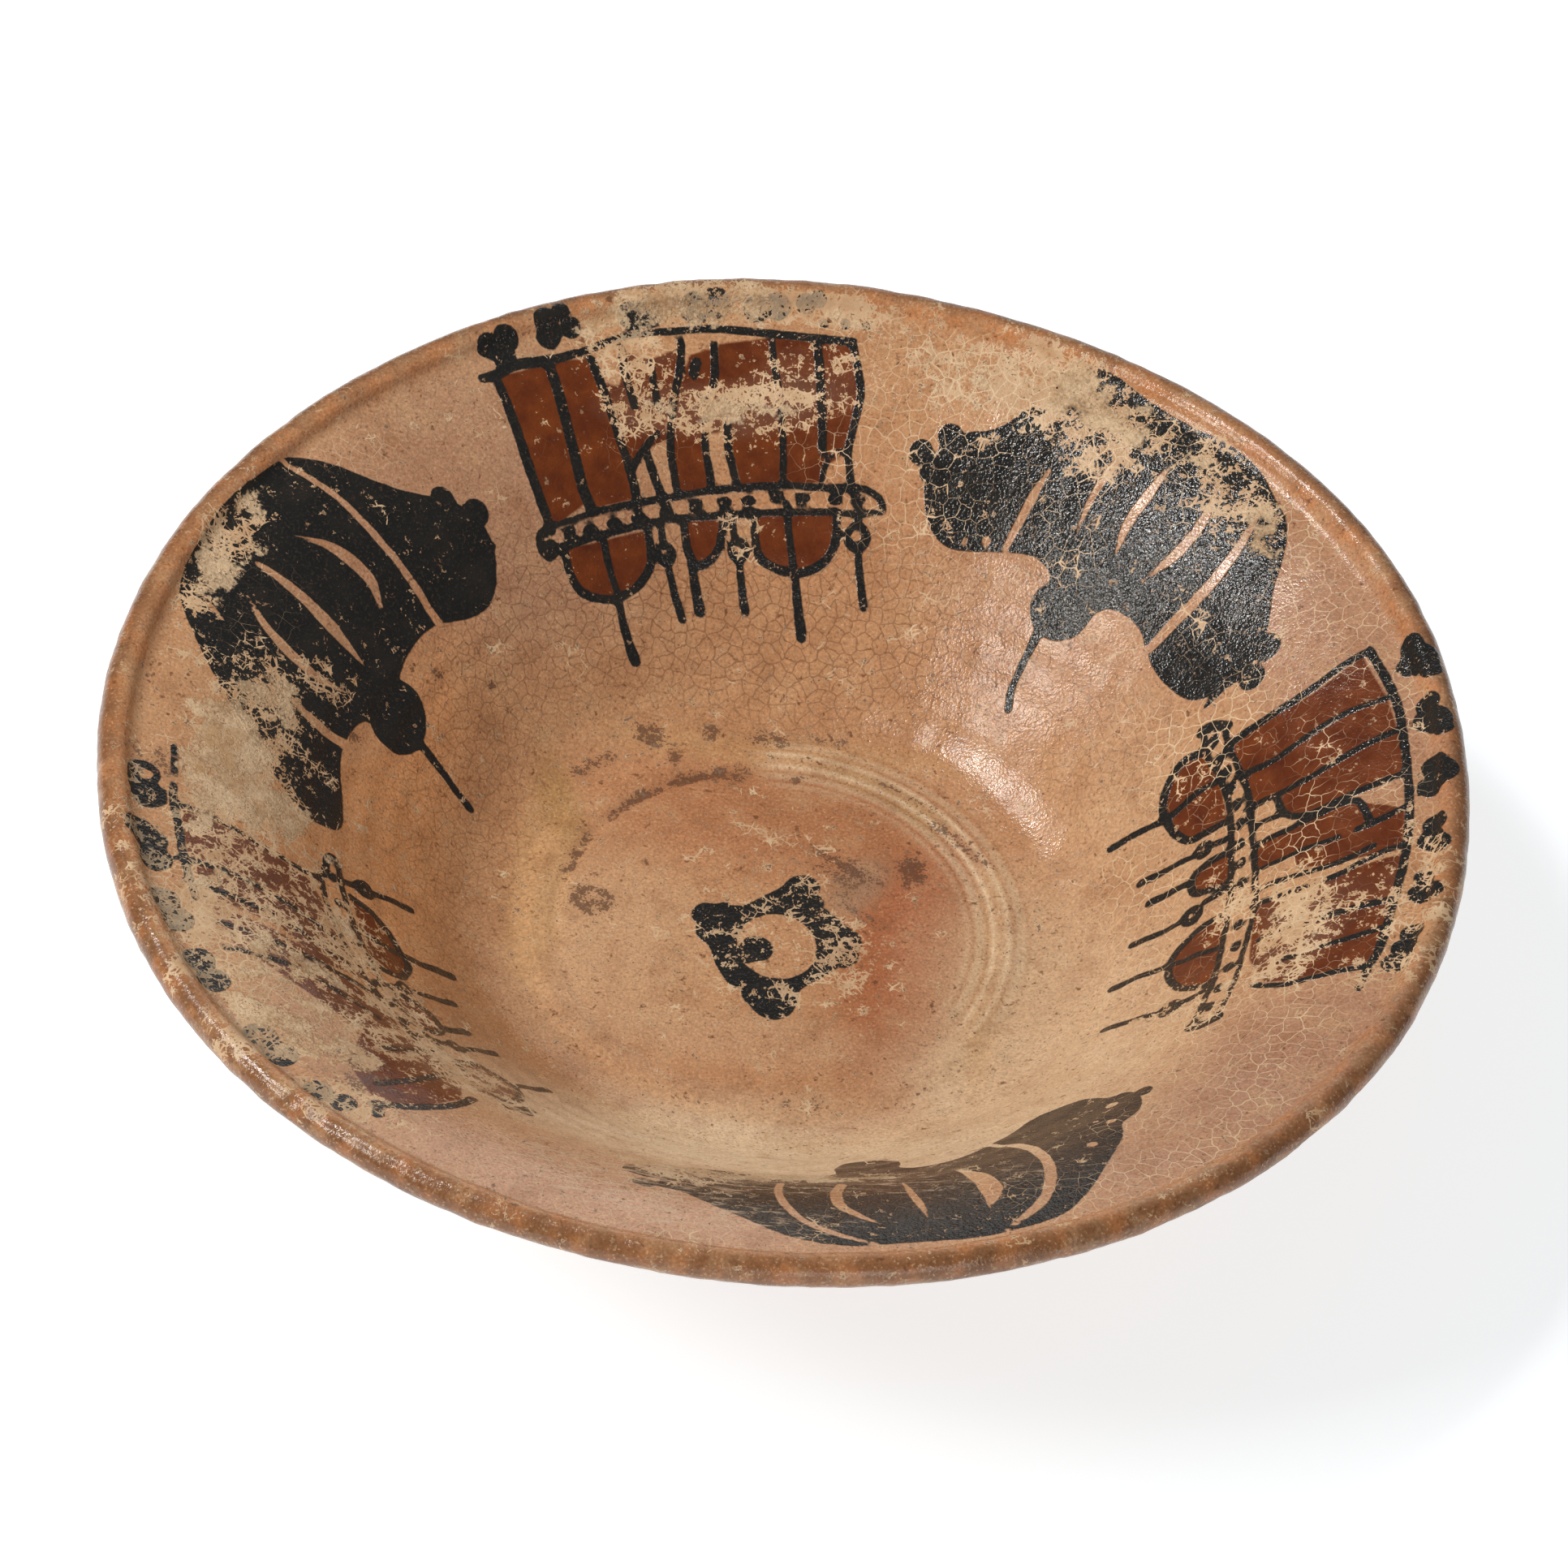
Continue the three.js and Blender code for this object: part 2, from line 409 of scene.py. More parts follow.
bowl_mesh = bpy.data.meshes.new("glazed_bowl")
bowl_mesh.vertices.add(len(points))
bowl_mesh.vertices.foreach_set("co", points.ravel())
bowl_mesh.loops.add(triangles.size)
bowl_mesh.loops.foreach_set("vertex_index", triangles.ravel())
bowl_mesh.polygons.add(len(triangles))
bowl_mesh.polygons.foreach_set("loop_start", np.arange(0, triangles.size, 3))
bowl_mesh.polygons.foreach_set("use_smooth", np.ones(len(triangles), bool))
bowl_mesh.update(calc_edges=True)
bowl_mesh.validate()
bowl = bpy.data.objects.new("glazed_bowl", bowl_mesh)
scene.collection.objects.link(bowl)

# The painting: thick near-black slip laid on with a soft brush over pale slip, and a thin
# red-brown slip inside the panels. Three panels hung with tassels and three winged fans stand in
# turn round the pot. Each colour is kept as the distance in millimetres to the edge of the mark.

far_away = 4.0
painted = np.flatnonzero(inside & (map_run < flange_run + 9))
paint_x = plan_x[painted]
paint_y = plan_y[painted]


def smooth_path(marks, closed=False, steps=4):
    """A curve through the marks: between two marks a cubic whose direction at each mark is that
    of the line from the mark before it to the mark after it."""
    marks = np.array(marks, float)
    if closed:
        before, after, last = np.roll(marks, 1, 0), np.roll(marks, -1, 0), np.roll(marks, -2, 0)
        start = marks
    else:
        ends = np.concatenate([[2 * marks[0] - marks[1]], marks, [2 * marks[-1] - marks[-2]]])
        before, start, after, last = ends[:-3], ends[1:-2], ends[2:-1], ends[3:]
    pieces = []
    for share in np.arange(steps) / steps:
        pieces.append(0.5 * (2 * start + (after - before) * share
                             + (2 * before - 5 * start + 4 * after - last) * share ** 2
                             + (3 * start - before - 3 * after + last) * share ** 3))
    path = np.stack(pieces, 1).reshape(-1, marks.shape[1])
    return path if closed else np.concatenate([path, marks[-1:]])


def nearby(low, high):
    """The painted points inside a rectangle widened by the distance that is kept."""
    reach = far_away + 0.5
    return np.flatnonzero((paint_x > low[0] - reach) & (paint_x < high[0] + reach)
                          & (paint_y > low[1] - reach) & (paint_y < high[1] + reach))


def new_layer():
    """A layer with no mark on it: every point is far from an edge."""
    return np.full(len(painted), far_away)


def brush(layer, marks, width, smooth=True):
    """Adds a brush stroke: the distance to a line whose width runs evenly through the given
    widths from its start to its end."""
    path = smooth_path(marks) if smooth and len(marks) > 2 else np.array(marks, float)
    near = nearby(path.min(0), path.max(0))
    x, y = paint_x[near], paint_y[near]
    widths = np.atleast_1d(np.array(width, float))
    along = run_along(path[:, 0], path[:, 1])
    halves = np.interp(along / along[-1], np.linspace(0, 1, len(widths)), widths) / 2
    best = layer[near]
    for first, last, half_first, half_last in zip(path[:-1], path[1:], halves[:-1], halves[1:]):
        step = last - first
        share = np.clip(((x - first[0]) * step[0] + (y - first[1]) * step[1]) / max(step @ step, 1e-9), 0, 1)
        gap = np.hypot(x - first[0] - share * step[0], y - first[1] - share * step[1])
        best = np.minimum(best, gap - half_first - share * (half_last - half_first))
    layer[near] = best


def fill(layer, marks, smooth=True):
    """Adds a filled shape: the distance to its outline, less than nothing inside it."""
    path = smooth_path(marks, closed=True) if smooth else np.array(marks, float)
    near = nearby(path.min(0), path.max(0))
    x, y = paint_x[near], paint_y[near]
    gap = np.full(len(near), 50.0)
    within = np.zeros(len(near), bool)
    for first, last in zip(path, np.roll(path, -1, 0)):
        step = last - first
        share = np.clip(((x - first[0]) * step[0] + (y - first[1]) * step[1]) / max(step @ step, 1e-9), 0, 1)
        gap = np.minimum(gap, np.hypot(x - first[0] - share * step[0], y - first[1] - share * step[1]))
        crosses = (first[1] > y) != (last[1] > y)
        rise = step[1] if abs(step[1]) > 1e-9 else 1e-9
        within ^= crosses & (x < first[0] + (y - first[1]) * step[0] / rise)
    layer[near] = np.minimum(layer[near], np.where(within, -gap, gap))


def dab(layer, x, y, radius, length=None, turn=0):
    """Adds a round or oval dab: the distance to an ellipse, close enough near its edge."""
    length = radius if length is None else length
    size = max(radius, length)
    near = nearby((x - size, y - size), (x + size, y + size))
    angle = math.radians(turn)
    across = (paint_x[near] - x) * math.cos(angle) + (paint_y[near] - y) * math.sin(angle)
    along = (paint_y[near] - y) * math.cos(angle) - (paint_x[near] - x) * math.sin(angle)
    level = np.hypot(across / radius, along / length)
    slope = np.hypot(across / radius ** 2, along / length ** 2) / np.maximum(level, 1e-6)
    layer[near] = np.minimum(layer[near], (level - 1) / np.maximum(slope, 1 / size))


def dabs(layer, places):
    """Adds round dabs, each given as x, y and size. Three that overlap make a leaf."""
    for x, y, size in places:
        dab(layer, x, y, size)


def cut(layer, hole):
    """Takes the marks of one layer out of another."""
    np.maximum(layer, -hole, out=layer)


black = new_layer()
red = new_layer()

# The fan at the upper right, whole but flaked towards the lip.
fan = new_layer()
fill(fan, [(28.2, 124), (27.2, 117), (29.2, 109), (34.7, 104), (46, 102.6), (54.9, 101), (59.2, 97.4),
    (60, 94.6), (56, 91.8), (55.2, 88), (57, 82.8), (61, 80.2), (66.2, 80.2), (69.3, 82.6), (71.4, 84.8),
    (75, 85.3), (79.4, 82.8), (82.9, 78.6), (84.7, 73), (87.2, 67), (91.6, 61.6), (96, 58), (101, 57.2),
    (107.4, 58.4), (112, 62), (115, 70.5), (115.6, 82), (117.2, 90.6), (117.2, 99.4), (113.5, 108),
    (109, 116.4), (101.2, 124), (92.5, 129.5), (82, 136.8), (72, 145), (66, 146.6), (61, 144), (54, 139.4),
    (48.5, 134.3), (43, 131.6), (38.2, 131.2), (33, 130)])
dabs(fan, ((25.6, 126.2, 3.1), (32.6, 130.2, 3.1), (112.2, 58.9, 3.4), (115.2, 66.2, 3.7), (29, 122, 3.4)))
brush(fan, [(100.4, 54.8), (103.5, 57.6)], (0.9, 2.2))
brush(fan, [(57.5, 83), (54, 76.6), (50.9, 70.5), (50, 65.6)], (2.8, 1.9, 1.6, 1.7))
bare = new_layer()
brush(bare, [(58.6, 121.2), (54.9, 115.1), (51.8, 109), (48.4, 103.2)], (0.8, 2.4, 2.4, 1.6))
brush(bare, [(78, 124.8), (74.1, 120.4), (69.7, 113.4), (66.2, 104.8)], (1.6, 2.4, 2, 0.6))
brush(bare, [(87.4, 118.4), (82.9, 111.6), (78.5, 104.6), (76, 97.8)], (1.4, 3.1, 3, 0.7))
brush(bare, [(99.6, 110.4), (96.9, 102.9), (91.6, 95.9), (82.9, 90.2)], (1, 3, 2.8, 0.5))
brush(bare, [(110.4, 104), (106.5, 95), (99.5, 85.4), (92, 79), (85.4, 73.6)], (1, 2.6, 3.1, 3, 2.6))
dab(bare, 38.2, 105.6, 0.9)
dab(bare, 43.6, 105.2, 1.3)
cut(fan, bare)
black = np.minimum(black, fan)

# The fan at the upper left, whose lower wing runs on under the deposit.
fan = new_layer()
fill(fan, [(-131, 88.4), (-123, 89.4), (-109, 89), (-98, 90.6), (-90.5, 91.6), (-84, 89), (-79.4, 84.4),
    (-77.2, 76), (-78, 70.6), (-82, 66), (-89, 61.4), (-92, 58.4), (-94.6, 54), (-96.4, 48), (-97, 42),
    (-97, 27), (-103, 26.4), (-106.4, 22), (-108.2, 15), (-108, 7), (-106, 0), (-104.8, -7),
    (-106.6, -11.4), (-111, -13), (-117, -13), (-124, -8), (-132, -1), (-139, 8), (-146, 18), (-151.4, 28),
    (-154.6, 37), (-154, 46), (-152, 55), (-149.4, 64), (-145.4, 72), (-140, 80), (-135.4, 86)])
dabs(fan, ((-95, 91, 3.3), (-86, 91, 3.5), (-80.4, 84.8, 1.3)))
dab(fan, -95.6, 32.6, 8.5, 9.8)
brush(fan, [(-89, 29.6), (-83, 27.2), (-77, 24), (-71, 21)], (2.8, 2.2, 1.8, 2))
bare = new_layer()
brush(bare, [(-135, 85.4), (-122, 81), (-110, 74.2), (-100, 68), (-89.6, 60.6)], (1.6, 1.8, 2.2, 2.2, 2.4))
brush(bare, [(-130, 65.4), (-122, 66.4), (-115, 65), (-109.4, 62), (-105.6, 56.8)], (0.5, 2.4, 3.8, 3.2, 1.2))
brush(bare, [(-138, 53), (-131, 51), (-120, 46.2), (-107, 40)], (1.6, 3, 3.8, 0.6))
brush(bare, [(-139.6, 43), (-134, 36), (-127, 31.6), (-119, 29.2), (-111, 30)], (0.6, 2.2, 3.2, 2.6, 0.5))
brush(bare, [(-130, 20.6), (-122, 17.8), (-115, 16), (-108, 16)], (1.2, 2.4, 3, 2.8))
brush(bare, [(-149, 37.4), (-146.6, 34.6), (-143.6, 32)], (1, 1.8, 0.8))
cut(fan, bare)
black = np.minimum(black, fan)

# The fan nearest the viewer, paler and thinner than the other two.
fan = new_layer()
fill(fan, [(-29.4, -124), (-27.8, -128.6), (-20, -130), (-22, -134), (-13.8, -136), (-9.6, -139.6),
    (0, -145.4), (9.5, -151), (20, -153.6), (29.7, -153.4), (40.3, -150.7), (56.3, -147), (66.9, -142.2),
    (75.6, -136.4), (81.8, -125.8), (86, -113), (88.6, -102.4), (88.4, -96), (91.6, -91), (92.6, -85.4),
    (91, -80), (88.2, -76.4), (84, -76.6), (79.6, -72.6), (73.3, -70.8), (66, -73.2), (61.6, -79),
    (57.3, -87.5), (52, -94.4), (44.6, -99.2), (39.3, -100.2), (35.4, -98), (35, -91), (31.8, -86.4),
    (26.5, -84.9), (21.6, -87.5), (20.1, -95), (20.8, -102), (17, -108), (8, -109.6), (-1, -108),
    (-9.6, -108.8), (-18, -113), (-24, -118.6)])
dab(fan, -25, -126, 4, 3)
dab(fan, -24, -133.4, 3, 2.4)
dab(fan, 92.4, -79.6, 2.4)
bare = new_layer()
brush(bare, [(8.4, -120), (7.9, -128), (9.6, -136.4), (14.8, -144.9), (23.3, -150), (31.8, -152.2)],
      (2, 2.2, 2.4, 2, 1.8, 1))
brush(bare, [(22.8, -120.6), (21.7, -129), (23.4, -136.4), (28.6, -141.7), (34, -144.6)],
    (2.6, 3.2, 3, 2, 0.6))
brush(bare, [(37.1, -118), (39.8, -127.9), (42.5, -135.3), (44, -139.8)], (0.6, 2, 2.4, 0.8))
brush(bare, [(49.2, -110.4), (54.6, -117), (58.4, -125.4), (58.2, -134.6)], (0.4, 5, 6, 0.6))
brush(bare, [(56.4, -89.6), (64.8, -98.1), (70.1, -108.8), (72.2, -119.4), (71.1, -130), (66.9, -137.5),
             (62, -144)], (1.6, 2.8, 3, 3, 3, 2.4, 0.8))
dabs(bare, ((85, -82.2, 1.7), (85.5, -93.4, 1.4), (81.8, -91.8, 0.8), (81.6, -105.3, 1.4),
    (28.1, -127.4, 0.9), (63.6, -128.8, 0.8), (76, -84, 0.7)))
cut(fan, bare)
black = np.minimum(black, fan)

# The knot on the floor: a rounded square ring with a lobe at each corner, and one bead inside.
knot = new_layer()
fill(knot, [(-16, 3.6), (-12, 5.4), (-7, 5.6), (-3, 8.8), (0.4, 11.6), (3.4, 15.4), (6.4, 16.4),
    (9.4, 13.4), (9, 9.6), (13, 5.8), (16.6, 2.6), (19.8, 0), (19.4, -3.6), (19.6, -7.6), (15.6, -10),
    (11.4, -14.2), (7.6, -18), (7.2, -22.6), (4.4, -26.6), (1.2, -27.4), (-2.4, -25), (-4.2, -20.8),
    (-8.2, -18), (-11.4, -12.8), (-13.4, -7.6), (-16.6, -4)])
bare = new_layer()
dab(bare, 1.6, -5.6, 8.8, 9.8, 12)
cut(knot, bare)
dabs(knot, ((-14.6, 1.8, 3.4), (-10.6, 3.6, 2.4), (6, 12.8, 3.8), (8.4, 8.8, 2.6), (17, -2.6, 3.2),
    (16, -6.6, 3.4), (2, -22.6, 4.8), (-1, -20, 4.2)))
dab(knot, -3, -7, 3.8)
brush(knot, [(-8, -10), (-3.6, -8.4)], (6, 5))
black = np.minimum(black, knot)


# A panel is two long edges, bars across it and a double band with dots, under which tongues and
# looped tassels hang towards the middle of the pot.
def tassel(layer, stem, ring, tail, ring_size=2.7, hole=0.8):
    """A looped tassel: a short stem, a ring with a small hole and a thickening tail."""
    brush(layer, stem, (1.9, 1.9))
    loop = new_layer()
    dab(loop, ring[0], ring[1], ring_size)
    gap = new_layer()
    dab(gap, ring[0] - 0.3, ring[1] + 0.2, hole)
    cut(loop, gap)
    brush(loop, tail, (1.6, 1.8, 2.1))
    np.minimum(layer, loop, out=layer)


def tongue(outline, middle, tail, tail_width=2.1):
    """A red tongue with a black edge, a line down its middle and a tail."""
    fill(red, outline, smooth=False)
    brush(black, outline, 2.1)
    if middle:
        brush(black, middle, 1.8)
    brush(black, tail, (1.9, tail_width, tail_width + 0.4))


# The far panel.
for field in ([(-84.6, 127), (-72, 133.6), (-58, 102.6), (-65.6, 94), (-78, 114)],
        [(-72, 134.4), (-61, 137.4), (-54, 124), (-49, 114), (-45, 107), (-56, 102)],
        [(-53, 141), (-46, 140), (-44, 134), (-39, 122), (-44, 119), (-48, 114), (-54, 124), (-57, 131)],
        [(-46, 140), (-38, 145), (-37, 136), (-41, 124)], [(-36, 143), (-30, 146), (-27, 140), (-26, 126),
        (-30, 125), (-27, 113), (-34.6, 110), (-38, 118), (-39, 126)],
        [(-29, 147), (-15, 151), (5, 151), (8.6, 138), (7.6, 126), (2, 122), (1, 118), (-19, 114.4),
        (-23, 124), (-26, 130)]):
    fill(red, field, smooth=False)
brush(black, [(-88.4, 125.4), (-84.6, 127.6), (-80, 131.4), (-71.6, 134.6), (-65, 138)],
    (2.4, 2.6, 3, 2.6, 2))
brush(black, [(-64, 138.4), (-52, 145.4), (-40, 148.6), (-29, 151), (-12, 151.8), (5.4, 152)],
    (1.8, 1.8, 2, 2.2))
brush(black, [(-85, 127), (-80, 118), (-73.6, 106), (-65.6, 94)], (2.2, 2.6, 2.6, 2.6))
brush(black, [(5.4, 151.6), (7.8, 144), (8.8, 138.8), (8, 132.8), (7, 126), (8, 120.8), (8.8, 116.6)], 2)
for line, width in (([(-72, 134.4), (-68.6, 127), (-64.4, 117), (-59.6, 106.5), (-56, 101.4)], 2.8),
        ([(-61, 137.4), (-58, 132), (-54, 124.4), (-50.6, 118), (-47.5, 112.4), (-44.5, 106)], 2.2),
        ([(-53.6, 142), (-52, 135.4), (-48.6, 128)], 2), ([(-45.8, 139.8), (-44.4, 134.6), (-42.6, 129)],
        1.8), ([(-42, 123), (-45, 118.6), (-47.4, 113)], 1.8), ([(-44.6, 118.8), (-41.6, 113.4),
        (-38.8, 109)], 2.2), ([(-38.4, 146), (-38, 140), (-38.8, 131), (-38.4, 121), (-36.6, 115),
        (-34.8, 110)], 2), ([(-34, 141.6), (-34.4, 138.4)], 2.6), ([(-30, 147), (-29, 138), (-30.2, 130),
        (-29.4, 122), (-27.6, 117), (-26.4, 112.6)], 1.9), ([(-24.4, 128), (-23.4, 122.4), (-21.8, 118.6),
        (-20, 114)], 2), ([(-15.4, 151), (-14.6, 146), (-12.8, 139.6), (-10.8, 132), (-9.4, 123.6),
        (-8.6, 117)], 1.7), ([(-3.8, 151), (-2.6, 145.6), (-1.4, 138.6), (-0.2, 131), (0.4, 125)], 2.2),
        ([(1, 118.4), (1.6, 122), (3.2, 124.6), (6.6, 126)], 1.4)):
    brush(black, line, width)
pale = new_layer()
fill(pale, [(-57.4, 140), (-55, 142), (-53.4, 139), (-53, 133), (-55.6, 132), (-57.6, 134)])
cut(red, pale)
brush(black, [(-66.4, 94.2), (-55, 101.2), (-44.5, 106), (-34.8, 109.6), (-26.5, 112.4), (-19.8, 114.2),
              (-10, 116), (0, 116.8), (11, 117.2), (15.6, 115.6), (17.2, 113)], 1.7)
brush(black, [(-67.4, 89.4), (-61.8, 91.1), (-55, 95.2), (-47.5, 99), (-39.3, 102.8), (-32.5, 105),
    (-22.8, 107.4), (-13.8, 109.2), (-4, 110.8), (5, 111.4), (12.5, 111.6), (17.2, 112.4)], 1.7)
brush(black, [(-66.6, 94), (-68.2, 91.6), (-67, 88.6), (-64.8, 87.6), (-63.4, 89.6)], 2.2)
for x, y in ((-60.8, 94.6), (-55.6, 97), (-49.8, 100), (-43.8, 103), (-37, 105.8), (-29.9, 108.3),
        (-22.8, 110.4), (-16.8, 111.6), (-10, 113.4), (-3.3, 113.9), (5, 114.4), (10.6, 114.6)):
    dab(black, x, y, 2.0, 1.3, 24 - 0.5 * (x + 30))
dab(black, -65, 90.4, 1.6)
tongue([(-61.4, 90.6), (-58.8, 85.8), (-55.6, 82.6), (-51.3, 82), (-45.8, 83.2), (-41.4, 87), (-39, 91.6),
        (-39.2, 96), (-41, 100.6)], [(-51.6, 95.4), (-48.6, 89), (-45.4, 83.8)],
       [(-45.4, 83.4), (-43, 78), (-40, 72.8), (-38.2, 70.4)])
tongue([(-32.4, 104.6), (-30.6, 99), (-28, 95.2), (-25, 96), (-22.6, 99.8), (-22.2, 106.6)], None,
       [(-29, 96.4), (-26.9, 90), (-24.8, 84.8)], 2.3)
tongue([(-15, 109.4), (-13.8, 102.8), (-11.4, 98.6), (-3.3, 96.8), (3.4, 99.8), (6, 105), (5.6, 111.4)],
       [(-7, 112), (-5.6, 105), (-3.6, 97.6)], [(-3.4, 97.4), (-1.8, 90), (0, 82.4)])
tassel(black, [(-38.1, 102.8), (-36.4, 98)], (-35.5, 96), [(-34.4, 93.8), (-31.8, 87.8), (-28.8, 82.2)])
tassel(black, [(-20.4, 107.6), (-19, 102.4)], (-17.6, 100.2), [(-17, 97.5), (-15.6, 91.5), (-14, 86.4)], 2.9)
tassel(black, [(10.6, 115.5), (11.2, 109)], (11.2, 106.2), [(11.8, 102.8), (12.9, 96), (14.2, 90.4)], 3.4,
    1.3)
dabs(black, ((-87.8, 134.4, 3.2), (-83.6, 137.2, 3.6), (-83, 132.4, 3.2), (-74, 144.6, 3.3),
    (-72.4, 140.8, 3.2), (-67, 144.4, 2.8), (-70.4, 147.6, 2.4), (-52, 150.6, 3.6), (-47.4, 152.4, 3.6),
    (-36, 155.4, 3.9), (-30.6, 157.4, 3.8), (-20, 157.6, 3.5), (-15, 158.8, 3.5), (-7.6, 160.4, 2.6),
    (-4.6, 161.8, 2.1), (-2.6, 156, 1.3), (2.9, 156.4, 1.5), (8.3, 156.4, 1.2)))

# The right-hand panel.
for field in ([(107, 41), (118, 45.6), (128, 49.4), (139, 58), (146, 44), (150.4, 30), (151.6, 19.4),
        (139, 15), (132, 12.8), (126.6, 13.4), (123, 16.6), (121, 21), (114, 21.6), (110, 34)],
        [(115.4, 8.2), (127.5, 9.4), (141, 12), (152.6, 7), (153.2, -6.6), (136.6, -7.6), (128, -5),
        (126.6, 0.6), (116, 0)], [(117, -12.4), (125, -13), (136.6, -12), (152.8, -8), (150.2, -27),
        (147, -40), (144.6, -45), (136.6, -46.6), (127.6, -47.4), (121, -45), (116.6, -33)]):
    fill(red, field, smooth=False)
brush(black, [(140.2, 60), (143.8, 53.2), (148.4, 42.4), (151.1, 29.7), (152.9, 17), (153.8, 6.1),
    (153.4, -6.6), (152, -17.5), (150.2, -27.4), (147.5, -40.1), (144.3, -48.3), (142.4, -54.4)],
    (2.2, 2, 2, 2, 1.8))
brush(black, [(106.6, 42.2), (118.5, 46.7), (127.5, 51), (133.9, 55.8), (140.6, 60)], 2)
brush(black, [(118, -44.6), (121.5, -46.6), (127.5, -48.3), (136.6, -47.4), (144, -46.6)], 1.8)
for line, width in (([(109.4, 32.4), (118.5, 32.8), (127.5, 36.9), (136.6, 41.5), (146, 44.4)], 1.8),
        ([(113, 21.5), (123, 22.4), (132.1, 25.1), (141.1, 29.7), (150, 33.8)], 1.9),
        ([(121.2, 21.5), (123, 16.1), (126.6, 12.8), (132.1, 12.2), (139.3, 14.7), (145, 16.4),
        (151.4, 18.8)], 2), ([(114.8, 14.8), (118.6, 15.2), (122.4, 15)], 1.7),
        ([(115.7, 8.4), (127.5, 9.7), (140.2, 12.6), (143.6, 8.4), (145, 3.4)], 1.9),
        ([(142, 2.6), (147, 4.4), (153.2, 7.8)], 1.8), ([(116.4, -0.4), (127, 0.4), (138, 1.6)], 1.4),
        ([(117.4, -7), (125.7, -7.4), (136.6, -7.6), (146, -4)], 1.8),
        ([(116.6, -12), (124.8, -13), (136.6, -12), (143.8, -8.6), (151, -5.6)], 1.9),
        ([(119, -27), (132, -26.4), (141.1, -24.8), (150.4, -23.8)], 2.1),
        ([(124, -38), (139.3, -35.8), (149.6, -32.8)], 1.7)):
    brush(black, line, width)
brush(black, [(100.3, 48.7), (101.4, 41.5), (105.6, 33.3), (108.4, 23.3), (109.4, 11.5), (109.9, -2.1),
              (109.9, -12), (108.5, -22.9), (107.1, -33.8), (104.9, -42.9), (102.8, -52)], 1.8)
brush(black, [(106, 46.4), (107.4, 41), (109.6, 36), (113, 26.9), (114.4, 18.8), (115.7, 8.8), (116.6, -2.1),
              (117, -12), (115.9, -21.1), (114.5, -29.3), (113.4, -37.4), (111, -45.6), (109.2, -52)], 1.7)
brush(black, [(99.6, 48.2), (103, 49), (106.6, 47.6)], 2.8)
brush(black, [(102.6, -52.4), (106, -53.2), (109, -52.6)], 3.6)
for x, y in ((103, 44.6), (104.9, 39.2), (106.9, 34.7), (108.5, 29.7), (110.4, 24.2), (111.6, 17.7),
        (112, 11.1), (112.6, 4.7), (113.1, -2.1), (113.8, -8.9), (113, -17), (112.4, -24.7), (111, -32),
        (108.8, -39.2), (107, -46)):
    dab(black, x, y, 1.4, 1.9)
tongue([(101.6, 42.8), (95.8, 42.4), (91.3, 37.8), (89.9, 31.5), (91.3, 27), (94, 22.4), (98.5, 19),
    (108.6, 20.6)], [(91.3, 27.9), (99.6, 32.2), (106, 33.4)], [(91, 27.8), (84.9, 27.4), (75.9, 25.6)],
    1.7)
tongue([(109.6, 10.6), (104, 9.7), (99.4, 7.4), (99, 3.4), (102.1, 0.7), (109.6, -0.2)], None,
       [(99.2, 5.8), (94, 5.6), (87.4, 5.2)], 2)
tongue([(109.6, -10.2), (102.1, -11.6), (96.7, -15.7), (94.4, -20.2), (94.9, -25.6), (98.5, -31.8),
        (104.6, -35), (107.4, -34.9)], [(108.5, -22), (100.3, -20.8), (94.4, -20.2)],
       [(94.2, -20.2), (86.7, -18.8), (78.6, -18.4)], 1.7)
tassel(black, [(109.2, 14.7), (104.6, 14.7)], (101.8, 14.3), [(99.4, 13.8), (91.3, 12.9), (84.4, 12.4)])
tassel(black, [(109.4, -1.4), (103, -3.2)], (99.6, -5.6), [(97.4, -6.1), (91.3, -6.4), (83, -5.9)], 3.2)
tassel(black, [(106.8, -37), (98.6, -38.4)], (95.8, -38.4), [(92.2, -37.9), (84.9, -36.1), (78, -34.7)], 3.2)
dabs(black, ((150.8, 58.6, 3.4), (150.2, 53.6, 3.2), (154, 54, 4.5), (156.4, 50.6, 3), (156.2, 40, 3.4),
    (155.8, 35.4, 3.4), (159.2, 34, 3.9), (160.8, 31, 2.6), (159, 20, 3.5), (158.6, 13.6, 3.7),
    (161.6, 16.4, 4), (160.2, 0.4, 3.3), (159.2, -4.8, 3.4), (161.6, -7.6, 3), (158.2, -17.5, 3.1),
    (157, -22.8, 3.3), (160, -24, 3), (155.2, -36.4, 3.1), (153.2, -41.4, 3.4), (150.8, -46.4, 3.2)))

# The lower left panel, most of it under the deposit.
for field in ([(-145, -33), (-128, -34), (-112, -35), (-105, -42), (-99, -51), (-112, -50), (-120, -47),
        (-141, -48)], [(-140.4, -49), (-119, -48.6), (-100, -52), (-93, -61), (-106, -66), (-117, -60),
        (-134, -60)], [(-133, -62), (-116, -63), (-96, -68), (-86, -74), (-84, -78), (-96, -88),
        (-112, -80), (-126, -74)], [(-93, -86), (-80, -80), (-73, -86), (-69, -96), (-69, -108),
        (-78, -118), (-88, -120), (-96, -106)]):
    fill(red, field, smooth=False)
brush(black, [(-149.4, -13.6), (-148.2, -22.4)], (1.6, 1.8))
brush(black, [(-147.8, -26.4), (-146.9, -32.1), (-144.3, -40.5), (-141.6, -50), (-137, -62)], 1.9)
brush(black, [(-146, -31.8), (-137, -32.2), (-126, -33.4), (-114, -33.2), (-108, -31.4)], 1.5)
